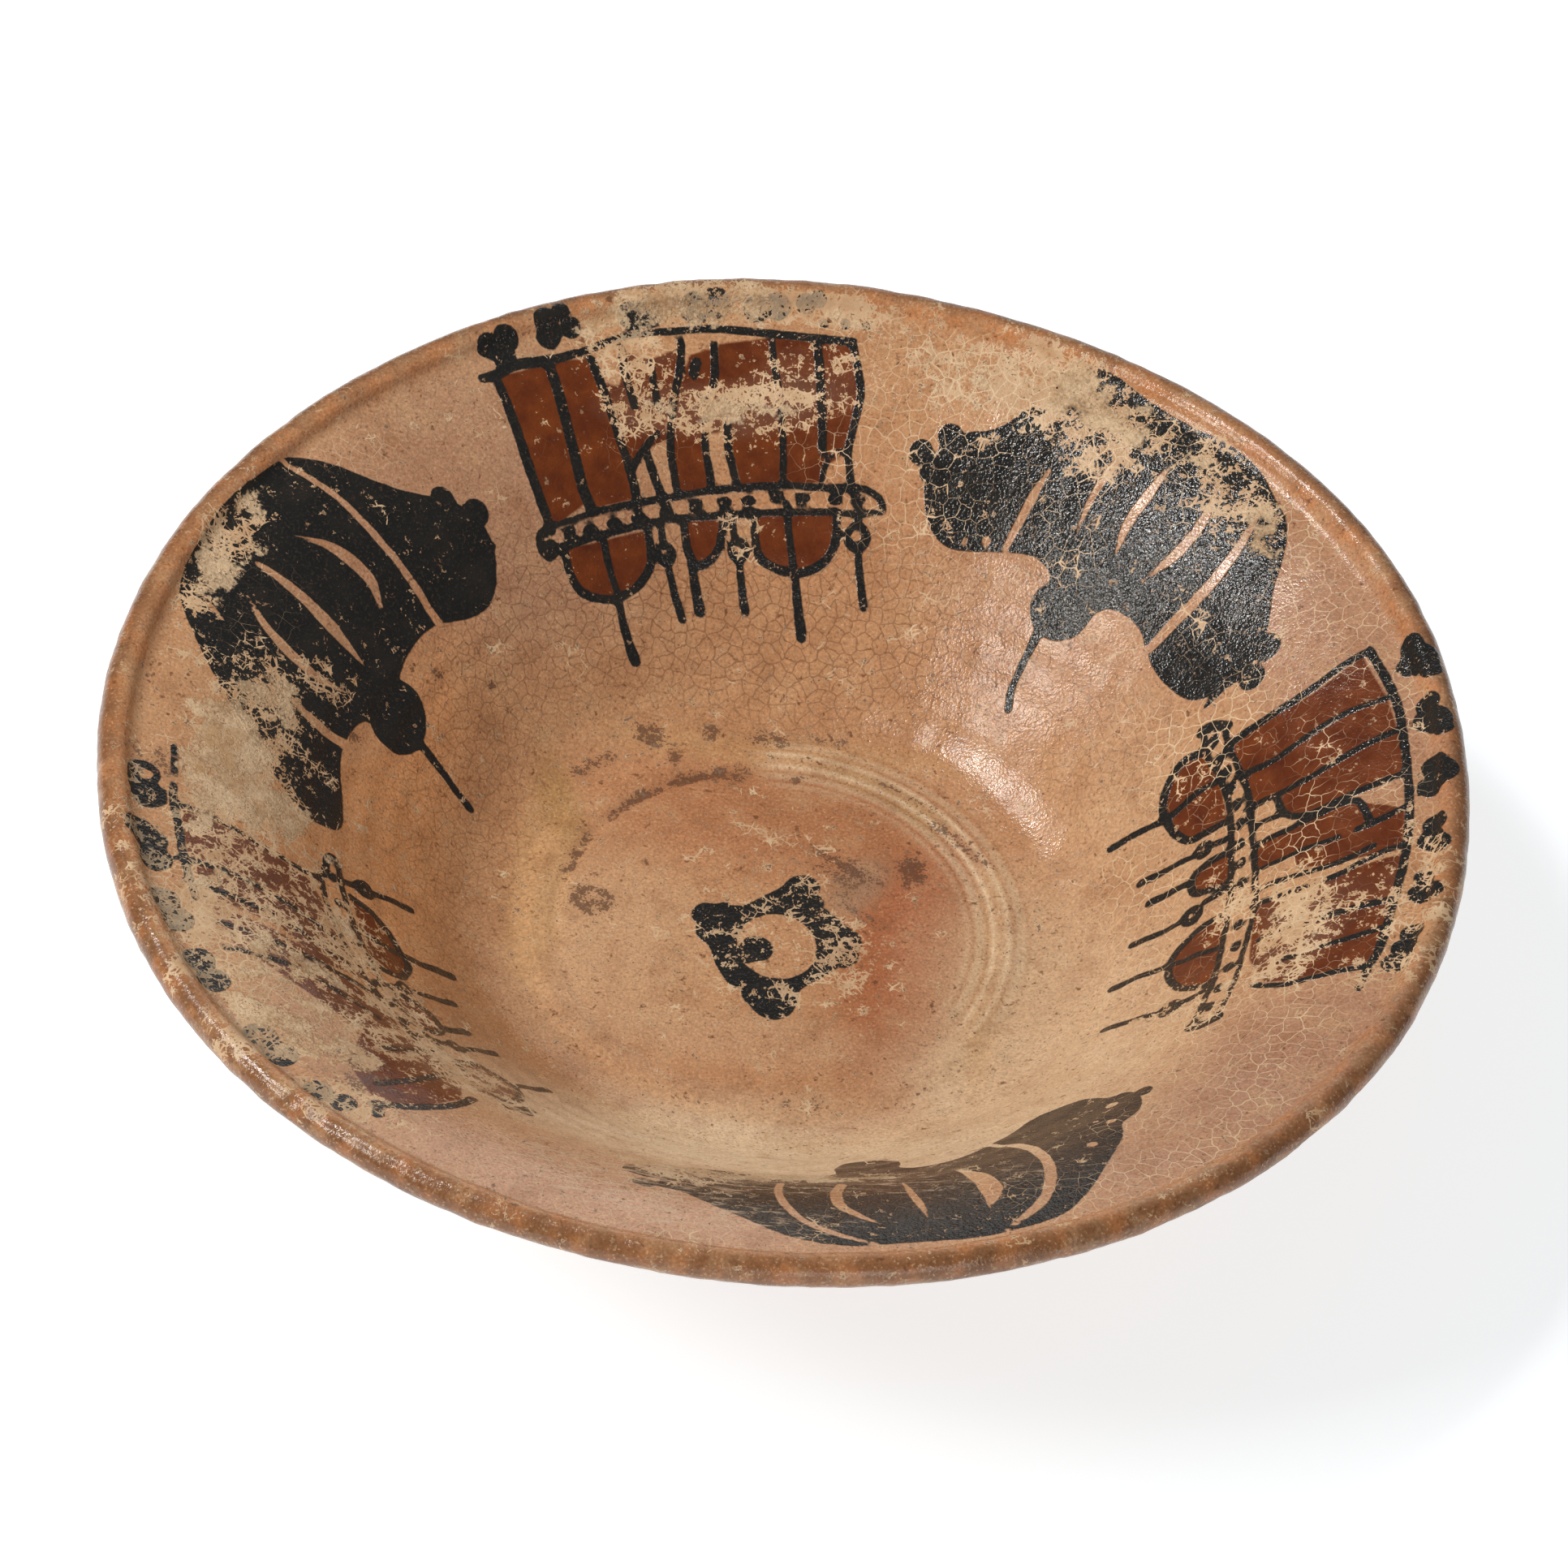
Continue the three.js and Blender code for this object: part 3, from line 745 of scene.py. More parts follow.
brush(black, [(-107.6, -29), (-107.8, -22.6), (-105.8, -21.2), (-104, -24.6), (-103, -28.7), (-99.2, -38),
              (-93.3, -50.6), (-86.5, -61.6), (-80.6, -69.2), (-73.9, -75.9), (-68, -83)], 2)
brush(black, [(-109, -29.6), (-105.9, -39.7), (-100.9, -49.8), (-94.1, -59.9), (-86.5, -70), (-79.8, -78.5),
              (-73.6, -86)], 1.9)
for x, y in ((-105.9, -28.2), (-103, -35.9), (-100.4, -42.2), (-97.4, -48.5), (-94.6, -54), (-90.6, -59.6),
             (-87, -65.4), (-83.2, -70.9), (-79.4, -75.4), (-75.2, -80)):
    dab(black, x, y, 1.6, 1.2, -55)
for line, width in (([(-143, -50), (-128, -48.6), (-112, -50), (-101, -52)], 1.8),
        ([(-140, -57), (-120, -57), (-98, -60)], 1.8), ([(-132, -68), (-112, -67), (-92, -66)], 1.8),
        ([(-128, -76), (-110, -74), (-90, -78)], 1.8), ([(-71, -90), (-76, -99), (-82, -107),
        (-88.6, -112)], 2.2), ([(-74, -78), (-80, -86), (-88.6, -93.6)], 2),
        ([(-66, -104), (-69.4, -111), (-74, -115.4), (-80.6, -119), (-89, -121)], 2.4)):
    brush(black, line, width)
tongue([(-100, -30.2), (-93.3, -31), (-88.2, -33.8), (-85.2, -37.6), (-82.6, -41), (-83.1, -45.6),
        (-85.4, -49.8), (-92, -50.6)], [(-98.6, -40), (-92, -40.6), (-84.8, -39)],
       [(-84.8, -38.9), (-78.1, -36.3), (-70.2, -32.5)], 2.2)
tongue([(-88.4, -59.4), (-82, -57.6), (-77, -58.4), (-73.6, -62.6), (-75, -67.6), (-80, -69)], None,
       [(-73.8, -63), (-69.6, -59.5), (-66.4, -55.8)], 2.1)
tongue([(-70, -79), (-64, -74), (-57.6, -75), (-54, -80), (-54.6, -88), (-58, -94), (-66, -94)], None,
       [(-55.8, -77), (-51.1, -71.7), (-46, -66.3)], 2)
tassel(black, [(-103.6, -27.2), (-98.6, -24.8)], (-96.6, -24.2), [(-94.1, -23.2), (-89, -21.1), (-83, -19)],
    2.9, 0.6)
tassel(black, [(-89.4, -57.8), (-85, -54.8)], (-83.4, -53.4), [(-81.4, -52), (-76.4, -49.4),
    (-69.6, -44.8)], 2.4)
tassel(black, [(-76, -73), (-71.4, -70)], (-69.6, -69), [(-68, -67.4), (-64.4, -64), (-59.2, -59.2)], 2.6)
dabs(black, ((-53.6, -97, 2.6), (-51.8, -93, 1.8), (-57.4, -99.4, 1.8)))
pale = new_layer()
dab(pale, -154.2, -25.6, 1.7)
leaves = new_layer()
dabs(leaves, ((-155.2, -25.6, 4.3), (-152.8, -32.2, 4.3), (-156, -29, 3), (-153.2, -45, 4.3),
    (-149.6, -47, 3.8), (-147.8, -52.6, 4), (-144, -65.6, 4), (-139.8, -71, 4), (-133, -83, 3.9),
    (-128.8, -88.6, 4), (-116, -104.4, 4.2), (-110.8, -109.6, 4.2), (-101, -120.2, 3.6), (-95, -122.8, 3.2),
    (-87, -124.4, 1.7)))
cut(leaves, pale)
black = np.minimum(black, leaves)

# Age and kiln: where the glaze pooled or thinned, where the paint flaked, where the glaze
# crazed and where the ground left its deposit. Each is a share from 0 to 1 over the pot.


def spread(layer, places):
    """Adds soft oval patches: x, y, half length, half width, turn in degrees and strength."""
    for x, y, length, width, turned, strength in places:
        angle = math.radians(turned)
        along = ((plan_x - x) * math.cos(angle) + (plan_y - y) * math.sin(angle)) / length
        across = ((plan_y - y) * math.cos(angle) - (plan_x - x) * math.sin(angle)) / width
        bell = strength * np.exp(-(along ** 2 + across ** 2) ** 2)
        layer[:] = 1 - (1 - layer) * (1 - np.where(inside, bell, 0))


def ring_part(middle, half_turn, run_middle, run_half, soft_turn=8):
    """A soft-ended stretch of a ring: the middle angle and half angle in degrees, and the middle
    and half of its width in millimetres over the clay."""
    gap = np.abs((np.degrees(vertex_turn) - middle + 180) % 360 - 180)
    ends = np.clip((half_turn - gap) / soft_turn + 0.5, 0, 1)
    sides = np.exp(-((map_run - run_middle) / run_half) ** 4)
    return np.where(inside, ends * sides, 0)


crust = np.zeros(len(vertex_turn))
spread(crust, ((-46, 152, 32, 8, 14, 0.85), (-8, 158, 30, 7, 0, 0.6), (38, 146, 36, 14, -14, 0.55),
    (70, 138, 22, 9, -38, 0.8), (112, 102, 22, 9, -60, 0.7), (92, 122, 14, 8, -45, 0.5),
    (-28, 131, 34, 6, 10, 0.66), (-136, -6, 34, 15, 84, 0.92), (-146, 54, 34, 7, 75, 0.5),
    (-124, -19, 26, 10, 0, 0.92), (-108, -96, 24, 12, -42, 0.82), (-112, -66, 46, 30, -50, 0.55),
    (-142, 52, 14, 24, 10, 0.42), (-122, 10, 16, 16, 0, 0.5), (-66, -92, 16, 12, 0, 0.3),
    (-94, -48, 9, 26, 34, 0.3), (8, -112, 36, 9, 3, 0.85), (127, -33, 14, 9, 80, 0.48),
    (138, -24, 16, 12, 0, 0.45), (114, -44, 12, 8, 0, 0.65), (-112, 96, 34, 8, 40, 0.35),
    (-60, -128, 30, 10, -25, 0.4), (142, 68, 18, 9, 120, 0.4), (118, -84, 22, 10, 50, 0.25),
    (-92, 116, 24, 12, 40, 0.3), (150, -60, 16, 7, 70, 0.35)))
crust = np.clip(crust * (0.85 + 0.25 * waves(plan_x, plan_y, 30, 21)), 0, 1)
worn = np.clip(0.05 + 0.06 * waves(plan_x, plan_y, 36, 22), 0.0, 1)
spread(worn, ((16, -6, 9, 16, 10, 0.26), (0, -4, 24, 26, 0, 0.24), (7, 10, 8, 8, 0, 0.12),
    (-66, -86, 18, 16, 0, 0.5), (-84, -62, 9, 12, -30, 0.4), (-28, 131, 36, 8, 10, 0.5),
    (-50, 141, 14, 7, 15, 0.42), (-4, 143, 18, 9, 0, 0.3), (66, 136, 28, 13, -38, 0.56),
    (104, 109, 22, 9, -60, 0.5), (2, -112, 36, 8, 3, 0.6), (-16, -122, 18, 10, -20, 0.4),
    (127, -30, 20, 11, 80, 0.45), (138, -22, 16, 16, 0, 0.3), (157, -24, 9, 30, 0, 0.3),
    (98, 30, 12, 14, 0, 0.22), (104, -16, 10, 20, 0, 0.06), (120, -10, 14, 8, 0, 0.2),
    (-120, -56, 50, 32, -50, 0.44), (-80, -100, 24, 20, -30, 0.2), (-98, -48, 7, 26, 34, 0.25),
    (108, -44, 12, 9, 0, 0.4), (95, -38, 8, 7, 0, 0.36), (114, -4, 14, 8, 90, 0.3),
    (30, 114, 10, 10, 0, 0.2), (-132, -4, 30, 14, 90, 0.5), (-148, 50, 34, 7, 80, 0.42),
    (148, -50, 10, 8, 0, 0.36), (-140, -68, 12, 12, 0, 0.5), (60, -150, 20, 5, 20, 0.25),
    (-34, 157, 26, 6, 10, 0.62), (-2, 159, 22, 5, 0, 0.7), (40, 146, 28, 15, -14, 0.35),
    (-118, -108, 14, 12, 0, 0.4), (-96, -122, 14, 8, 0, 0.5), (-124, 20, 16, 12, 40, 0.3),
    (-131, -86, 9, 9, 0, 0.42), (-114, -107, 9, 9, 0, 0.3)))
ghosts = np.zeros(len(crust))
spread(ghosts, ((-148, -50, 34, 10, -80, 0.7), (-130, -90, 30, 14, -50, 0.8), (-96, -120, 22, 10, -25, 0.5),
    (-44, 154, 34, 9, 14, 0.85), (-6, 159, 24, 7, 0, 0.8), (0, -4, 24, 26, 0, 0.25),
    (40, -120, 60, 30, 10, 0.3)))
pale_cracks = np.zeros(len(crust))
spread(pale_cracks, ((130, 40, 76, 34, 100, 0.6), (118, 30, 60, 44, 100, 0.95),
    (62, 124, 66, 38, -30, 0.95), (112, -50, 50, 40, 60, 0.8), (20, 130, 40, 32, 0, 0.8),
    (-112, -60, 52, 40, -50, 0.9), (-50, 128, 40, 18, 20, 0.6), (-140, 40, 20, 50, 0, 0.5),
    (-118, 92, 16, 10, 30, 0.5), (20, -138, 110, 30, 6, 0.6), (100, -100, 40, 30, 45, 0.9),
    (92, 10, 22, 56, 0, 0.6)))
pale_cracks = pale_cracks * np.clip((flange_run + 0.5 - map_run) / 1.5, 0, 1)
dark_cracks = np.zeros(len(crust))
spread(dark_cracks, ((0, 84, 66, 26, 0, 0.8), (-76, 22, 22, 46, 0, 0.6), (-62, 76, 44, 28, 40, 0.6),
    (60, 62, 40, 22, -40, 0.5), (0, 0, 50, 50, 0, 0.25), (-80, -40, 24, 36, 30, 0.4),
    (-100, 110, 20, 20, 0, 0.3)))
scuffed = np.zeros(len(crust))
spread(scuffed, ((-30, -128, 44, 18, -10, 0.95), (20, -122, 50, 8, 4, 0.7), (60, -122, 40, 26, 20, 0.5),
    (-8, -146, 50, 9, -4, 0.8)))
stain = np.zeros(len(crust))
spread(stain, ((-32, 54, 4, 3, 0, 0.8), (-26, 49, 2, 3, 0, 0.8), (-18, 57, 3, 2, 0, 0.7),
    (-13, 44.5, 4, 2, 0, 0.7), (-5, 57, 6, 2.4, 0, 0.6), (9, 58, 4, 2, 0, 0.5), (2, 46, 3, 1.6, 0, 0.6),
    (15, 21, 11, 2.2, -32, 0.4), (22, 5, 6, 2, -30, 0.35), (-153, -20, 5, 8, 80, 0.4),
    (-90, -112, 8, 5, 30, 0.5), (104, 20, 4, 3, 0, 0.2), (-105.8, 19.7, 2, 2, 0, 0.6),
    (-72.3, 52.9, 1.2, 1.2, 0, 0.9), (-86.6, 49.2, 1.2, 1.2, 0, 0.9), (-44, 43, 8, 2, 38, 0.5),
    (36, 34, 12, 1.2, -42, 0.5), (42, 30, 9, 1, -44, 0.45), (27, 44, 12, 1, -30, 0.45),
    (18, 14, 6, 9, -20, 0.3), (12, 20, 7, 4, 0, 0.35)))
scar = np.hypot((plan_x + 40.5) / 5, (plan_y - 2.8) / 4.2)
scars = np.where(inside, 0.3 * hump(scar, 0.85, 0.3) + 0.5 * hump(scar, 0, 1.0), 0)
scar = np.hypot((plan_x - 29.8) / 3.6, (plan_y - 21) / 4.6)
scars = scars + np.where(inside, 0.9 * hump(scar, 0.2, 0.85), 0)
scar = np.hypot((plan_x - 10.5) / 4.4, (plan_y + 51.5) / 3.4)
scars = scars + np.where(inside, 0.3 * hump(scar, 0.8, 0.4), 0)
dirt_line = ring_part(134, 34, score_radius, 1.5) * np.clip(0.6 + 0.5 * waves(plan_x, plan_y, 12, 41), 0, 1)

# The colour that the glaze has where it lies on bare slip. Lead glaze with a trace of iron is
# honey yellow. It is pale where it is thin over white slip, and deep amber where it pooled.
# The near wall is made paler with painted sheen and painted light, and the left wall's amber is
# lightened with painted light.
honey = np.array(linear("#c49269"))
cream = np.array(linear("#e0c09a"))
amber = np.array(linear("#ad7549"))
russet = np.array(linear("#a5562e"))
ochre = np.array(linear("#a07a42"))
grey_slip = np.array(linear("#a58a70"))
pink_slip = np.array(linear("#b08369"))
brown_glaze = np.array(linear("#6c4426"))
bare_clay = np.array(linear("#a3623f"))

tone = np.tile(honey, (len(crust), 1))


def tint(colour, places):
    """Draws the tone towards a colour in soft oval patches, given as for spread."""
    amount = np.zeros(len(crust))
    spread(amount, places)
    tone[:] = tone + (colour - tone) * amount[:, None]


# Lighter amber gives painted light on the left wall. Pale cream is used for the pale ridges and as painted
# sheen on the near wall.
amber_with_painted_light = np.array(linear("#dd9a64"))
chalk_pink = np.array(linear("#cda083"))
cream_and_painted_sheen = np.array(linear("#f2d8b3"))
tint(amber, ((-60, -62, 34, 30, -45, 0.7), (-70, 0, 16, 50, 0, 0.4)))
# Painted light: the left wall keeps the glaze's amber but is lightened where the lamps leave it in shade.
tint(amber_with_painted_light, ((-92, 10, 18, 60, 0, 0.9), (-104, -30, 30, 40, 0, 0.7)))
tint(amber, ((0, 60, 50, 8, 0, 0.15),))
tint(russet, ((0, 34, 46, 20, 0, 0.42), (34, -6, 20, 40, 0, 1.0), (-6, -40, 34, 10, 0, 0.2),
    (0, 112, 30, 20, 0, 0.15)))
# Painted sheen and painted light: the near wall, the near right wall and the lower floor are drawn towards
# pale cream. This stands in for shine and for light from behind.
tint(cream_and_painted_sheen, ((10, -86, 90, 30, 0, 0.95), (60, -50, 32, 24, -40, 0.8), (0, -34, 36, 8, 0, 0.15)))
tint(cream, ((70, -34, 30, 56, 30, 0.75), (84, 20, 20, 40, 0, 0.3), (-34, -16, 20, 34, 0, 0.25),
    (110, 0, 20, 60, 0, 0.15)))
tint(grey_slip, ((-96, 118, 40, 26, 40, 0.4), (-60, 90, 30, 24, 30, 0.2), (18, 15, 6, 11, -30, 0.6)))
tint(chalk_pink, ((-30, -140, 60, 22, -8, 0.8), (60, -140, 60, 16, 16, 0.1)))
tint(pink_slip, ((134, 56, 22, 70, 30, 0.8), (-122, 56, 30, 40, 0, 0.5), (-76, 96, 44, 34, 30, 0.6),
    (70, 90, 50, 30, -40, 0.4), (134, -78, 34, 36, 0, 0.85), (110, -100, 50, 24, 40, 0.7)))
straw = np.array(linear("#d0a26e"))
tint(straw, ((-53, 6, 7, 34, 0, 0.6), (0, 53, 40, 5, 0, 0.5), (48, -8, 4, 40, 0, 0.5)))
tint(ochre, ((-50, 30, 5, 14, 20, 0.5), (24, 43, 16, 3, -28, 0.6), (14, 48, 10, 2.4, -15, 0.5),
    (30, 38, 8, 3, -40, 0.4)))
ridges = ring_part(34, 62, 50.5, 7) * (0.5 + 0.5 * np.cos(map_run * 2 * math.pi / 3.1))
tone = tone + (cream_and_painted_sheen - tone) * 0.75 * ridges[:, None]
lip_worn = np.exp(-((map_run - flange_run - 2.2) / 2.4) ** 2) * np.clip(0.6 + 0.5 * waves(plan_x, plan_y,
    18, 31), 0, 1)
orange_clay = np.array(linear("#c87f4a"))
tone = tone + (orange_clay - tone) * np.where(inside, 0.7 * lip_worn, 0)[:, None]

above_foot = row_height[vertex_row]
glaze_edge = 15 + 5 * waves(plan_x, plan_y, 70, 32) + 1.5 * waves(plan_x, plan_y, 12, 33)
outer_glaze = np.clip((above_foot - glaze_edge) / 3 + 0.5, 0, 1)
glazed = np.where(inside, 1, outer_glaze)
drips = np.clip(0.5 + 0.6 * waves(np.degrees(vertex_turn) * 1.6, above_foot * 0.15, 26, 34), 0, 1)[:, None]
outside_tone = brown_glaze + (honey * 0.8 - brown_glaze) * 0.5 * drips
outside_tone = bare_clay + (outside_tone - bare_clay) * outer_glaze[:, None]
tone = np.where(inside[:, None], tone, outside_tone)
lip_dark = np.where(inside, np.clip((map_run - flange_run - 3.6) / 2.6, 0, 1), 0)[:, None]
tone = tone + (brown_glaze - tone) * lip_dark * 0.9
lip_run = np.where(inside, np.clip((map_run - flange_run - 1) / 1.5, 0, 1), 0)
lip_fine = np.clip(waves(plan_x, plan_y, 13, 43), -1, 1) * lip_run
tone = tone + (orange_clay - tone) * 0.34 * np.clip(lip_fine, 0, 1)[:, None]
tone = tone + (brown_glaze - tone) * 0.34 * np.clip(-lip_fine, 0, 1)[:, None]
lip_chalk = ring_part(-34, 26, flange_run + 2.5, 3) * np.clip(0.6 + 0.6 * waves(plan_x, plan_y, 7, 42), 0, 1)
tone = tone + (grey_slip - tone) * 0.4 * lip_chalk[:, None]

everywhere = np.full((2, len(crust)), far_away)
everywhere[0, painted] = black
everywhere[1, painted] = red
for name, values in (("black_paint", everywhere[0]), ("red_paint", everywhere[1]), ("worn", worn),
        ("crust", crust), ("pale_cracks", pale_cracks), ("dark_cracks", dark_cracks),
        ("stain", np.clip(stain + scars + dirt_line, 0, 1)), ("glazed", glazed), ("ghost", ghosts),
        ("scuffed", scuffed)):
    attribute = bowl_mesh.attributes.new(name, "FLOAT", "POINT")
    attribute.data.foreach_set("value", values.astype(np.float32))
attribute = bowl_mesh.attributes.new("glaze_tone", "FLOAT_COLOR", "POINT")
attribute.data.foreach_set("color", np.column_stack([tone, np.ones(len(tone))]).astype(np.float32).ravel())

# Two flat maps of the pot, each with the inside and the outside as separate discs. The first is
# in metres over the clay and carries the crazing. The second fills the square for baking.
corner_points = triangles.ravel()
corner_outside = np.repeat(vertex_row[triangles].max(1) > lip_row, 3)
corner_row = vertex_row[corner_points]
corner_run = np.where(corner_outside, outer_run[corner_row], row_run[corner_row])
disc_x = corner_run * np.cos(vertex_turn[corner_points])
disc_y = corner_run * np.sin(vertex_turn[corner_points])
turned_over = np.where(corner_outside, -1, 1)
plan_map = bowl_mesh.uv_layers.new(name="plan")
plan_map.data.foreach_set("uv", (np.stack([disc_x + 500 * corner_outside, disc_y * turned_over],
    1) * mm).ravel())
bake_map = bowl_mesh.uv_layers.new(name="OFBake")
disc_middle = np.where(corner_outside, 0.83, 0.33)
disc_scale = np.where(corner_outside, 0.165 / outer_run[lip_row], 0.32 / row_run[lip_row])
bake_places = np.stack([disc_middle + disc_x * disc_scale, disc_middle + disc_y * disc_scale * turned_over],
    1)
bake_map.data.foreach_set("uv", bake_places.ravel())

# The glazed surface. Red clay dipped in pale slip, painted with an iron and manganese black and a
# thin iron red, then covered in lead glaze and fired. What the eye gets is a glossy warm skin
# with fine crazing, dull where the ground ate it, and paint that has flaked to the slip.

glaze, tree = new_material("glazed_terracotta")
tone_in = add(tree, "ShaderNodeAttribute", attribute_name="glaze_tone").outputs["Color"]
black_in, red_in, worn_in, crust_in, pale_in, dark_in, stain_in, glazed_in, ghost_in, scuffed_in = [
    add(tree, "ShaderNodeAttribute", attribute_name=name).outputs["Fac"] for name in (
        "black_paint", "red_paint", "worn", "crust", "pale_cracks", "dark_cracks", "stain", "glazed", "ghost",
        "scuffed")]

# Random fields with coordinates in millimetres. Each has a name, the size of its largest spots in
# millimetres, and how many times they break up into finer ones.
flat = add(tree, "ShaderNodeUVMap", uv_map="plan").outputs["UV"]
flat_mm = add(tree, "ShaderNodeVectorMath", {0: flat, "Scale": 1000}, operation="SCALE").outputs[0]
solid = add(tree, "ShaderNodeTexCoord").outputs["Object"]
solid_mm = add(tree, "ShaderNodeVectorMath", {0: solid, "Scale": 1000}, operation="SCALE").outputs[0]
fields = {}
for name, size, detail in (("cloud", 45, 3), ("patchy", 17, 2), ("mottle", 9, 3), ("flake", 5.5, 5),
        ("fleck", 2.4, 3), ("grain", 0.7, 1), ("film", 7.5, 6), ("bend", 5, 1), ("jag", 1.8, 0)):
    fields[name] = add(tree, "ShaderNodeTexNoise", {
        "Vector": solid_mm, "Scale": 1 / size, "Detail": detail, "Roughness": 0.62}).outputs
cloud, mottle, fleck = fields["cloud"]["Fac"], fields["mottle"]["Fac"], fields["fleck"]["Fac"]
grain, flake = fields["grain"]["Fac"], fields["flake"]["Fac"]
patchy, film = fields["patchy"]["Fac"], fields["film"]["Fac"]

# Crazing: three nets of cells with bent sides, 3.7, 1.9 and 3.2 mm wide. Each gives the distance in
# millimetres to its nearest crack. The first two make the pale cracks, where the finer one counts
# only once the cracks have opened, and the third makes the brown ones.
bent = flat_mm
for name, millimetres in (("bend", 1.5), ("jag", 0.9)):
    shift = add(tree, "ShaderNodeVectorMath", {0: fields[name]["Color"], 1: (-0.5, -0.5, -0.5)},
                operation="ADD").outputs[0]
    shift = add(tree, "ShaderNodeVectorMath", {0: shift, "Scale": millimetres}, operation="SCALE").outputs[0]
    bent = add(tree, "ShaderNodeVectorMath", {0: bent, 1: shift}, operation="ADD").outputs[0]
nets = []
for cell in (3.7, 1.9, 3.2):
    net = add(tree, "ShaderNodeTexVoronoi", {"Vector": bent, "Scale": 1 / cell, "Randomness": 1.0},
              feature="DISTANCE_TO_EDGE", voronoi_dimensions="2D").outputs["Distance"]
    nets.append(add(tree, "ShaderNodeMath", {0: net, 1: cell}, operation="MULTIPLY").outputs[0])
finer = add(tree, "ShaderNodeMath", {0: nets[1], 1: 0.12}, operation="ADD").outputs[0]
crack = add(tree, "ShaderNodeMath", {0: nets[0], 1: finer}, operation="MINIMUM").outputs[0]

# The slip under the glaze: the tone, deeper and redder in clouds and paler in mottles.
colour = tone_in
for field, low, high, most, spot_colour in (
        (cloud, 0.4, 0.72, 0.4, "#a36d47"), (mottle, 0.5, 0.75, 0.5, "#c49b72"),
        (mottle, 0.5, 0.25, 0.5, "#9a6843"), (fleck, 0.36, 0.28, 0.75, "#5f3c25")):
    share = add(tree, "ShaderNodeMapRange", {"Value": field, 1: low, 2: high, 3: 0, 4: most}).outputs[0]
    colour = add(tree, "ShaderNodeMix", {"Factor": share, 6: colour, 7: (*linear(spot_colour), 1)},
                 data_type="RGBA").outputs[2]
grainy = add(tree, "ShaderNodeMapRange", {"Value": grain, 1: 0.3, 2: 0.7, 3: 0.8, 4: 1.18}).outputs[0]
grainy = add(tree, "ShaderNodeCombineXYZ", {0: grainy, 1: grainy, 2: grainy}).outputs[0]
colour = add(tree, "ShaderNodeMix", {"Factor": 1, 6: colour, 7: grainy}, data_type="RGBA",
    blend_type="MULTIPLY").outputs[2]

# Pin pricks all over the glaze, some filled with pale lime and some with dark earth.
prick = add(tree, "ShaderNodeMath", {0: fleck, 1: 0.7, 2: grain}, operation="MULTIPLY_ADD").outputs[0]
for low, high, most, filling in ((1.0, 1.1, 0.55, "#e2c49e"), (0.66, 0.56, 0.5, "#7d4f30")):
    share = add(tree, "ShaderNodeMapRange", {"Value": prick, 1: low, 2: high, 3: 0, 4: most}).outputs[0]
    colour = add(tree, "ShaderNodeMix", {"Factor": share, 6: colour, 7: (*linear(filling), 1)},
                 data_type="RGBA").outputs[2]

# Fine brown crazing in the bare glaze.
thin_line = add(tree, "ShaderNodeMapRange", {"Value": nets[2], 1: 0.26, 2: 0.05, 3: 0, 4: 0.65}).outputs[0]
thin_line = add(tree, "ShaderNodeMath", {0: thin_line, 1: dark_in}, operation="MULTIPLY").outputs[0]
colour = add(tree, "ShaderNodeMix", {"Factor": thin_line, 6: colour, 7: (*linear("#6b4328"), 1)},
    data_type="RGBA").outputs[2]

# How far the paint still holds. Flaking starts as hairlines along the cracks and widens until
# only islands of paint are left, and then nothing. The half width of a crack is in millimetres.
ragged = add(tree, "ShaderNodeMath", {0: mottle, 1: -0.5}, operation="ADD").outputs[0]
fine_rag = add(tree, "ShaderNodeMath", {0: fleck, 1: -0.5}, operation="ADD").outputs[0]
ragged = add(tree, "ShaderNodeMath", {0: fine_rag, 1: 1.4, 2: ragged}, operation="MULTIPLY_ADD").outputs[0]
wear = worn_in
for field, weight in ((flake, 2.0), (patchy, 1.2), (fleck, 0.5)):
    wear = add(tree, "ShaderNodeMath", {0: field, 1: weight, 2: wear}, operation="MULTIPLY_ADD").outputs[0]
opened = add(tree, "ShaderNodeMapRange", {"Value": wear, 1: 2.12, 2: 2.85, 3: 0, 4: 0.8}).outputs[0]
lost = add(tree, "ShaderNodeMapRange", {"Value": wear, 1: 2.75, 2: 3.25, 3: 0, 4: 1.4}).outputs[0]
opened = add(tree, "ShaderNodeMath", {0: opened, 1: lost}, operation="ADD").outputs[0]
hairline = add(tree, "ShaderNodeMapRange", {"Value": patchy, 1: 0.3, 2: 0.65, 3: 0.0, 4: 0.115}).outputs[0]
hairline = add(tree, "ShaderNodeMath", {0: hairline, 1: pale_in}, operation="MULTIPLY").outputs[0]
opened = add(tree, "ShaderNodeMath", {0: opened, 1: hairline}, operation="MAXIMUM").outputs[0]
gone = add(tree, "ShaderNodeMath", {0: opened, 1: crack}, operation="SUBTRACT").outputs[0]
gone = add(tree, "ShaderNodeMapRange", {"Value": gone, 1: -0.04, 2: 0.05, 3: 0, 4: 1}).outputs[0]
open_at_all = add(tree, "ShaderNodeMapRange", {"Value": opened, 1: 0.02, 2: 0.1, 3: 0, 4: 1}).outputs[0]
gone = add(tree, "ShaderNodeMath", {0: gone, 1: open_at_all}, operation="MULTIPLY").outputs[0]
pepper = fleck
for field, weight in ((grain, 0.5), (flake, 0.5), (worn_in, 0.36)):
    pepper = add(tree, "ShaderNodeMath", {0: field, 1: weight, 2: pepper},
        operation="MULTIPLY_ADD").outputs[0]
pepper = add(tree, "ShaderNodeMapRange", {"Value": pepper, 1: 1.2, 2: 1.24, 3: 0, 4: 1}).outputs[0]
gone = add(tree, "ShaderNodeMath", {0: gone, 1: pepper}, operation="MAXIMUM").outputs[0]
keeps = add(tree, "ShaderNodeMath", {0: 1, 1: gone}, operation="SUBTRACT").outputs[0]

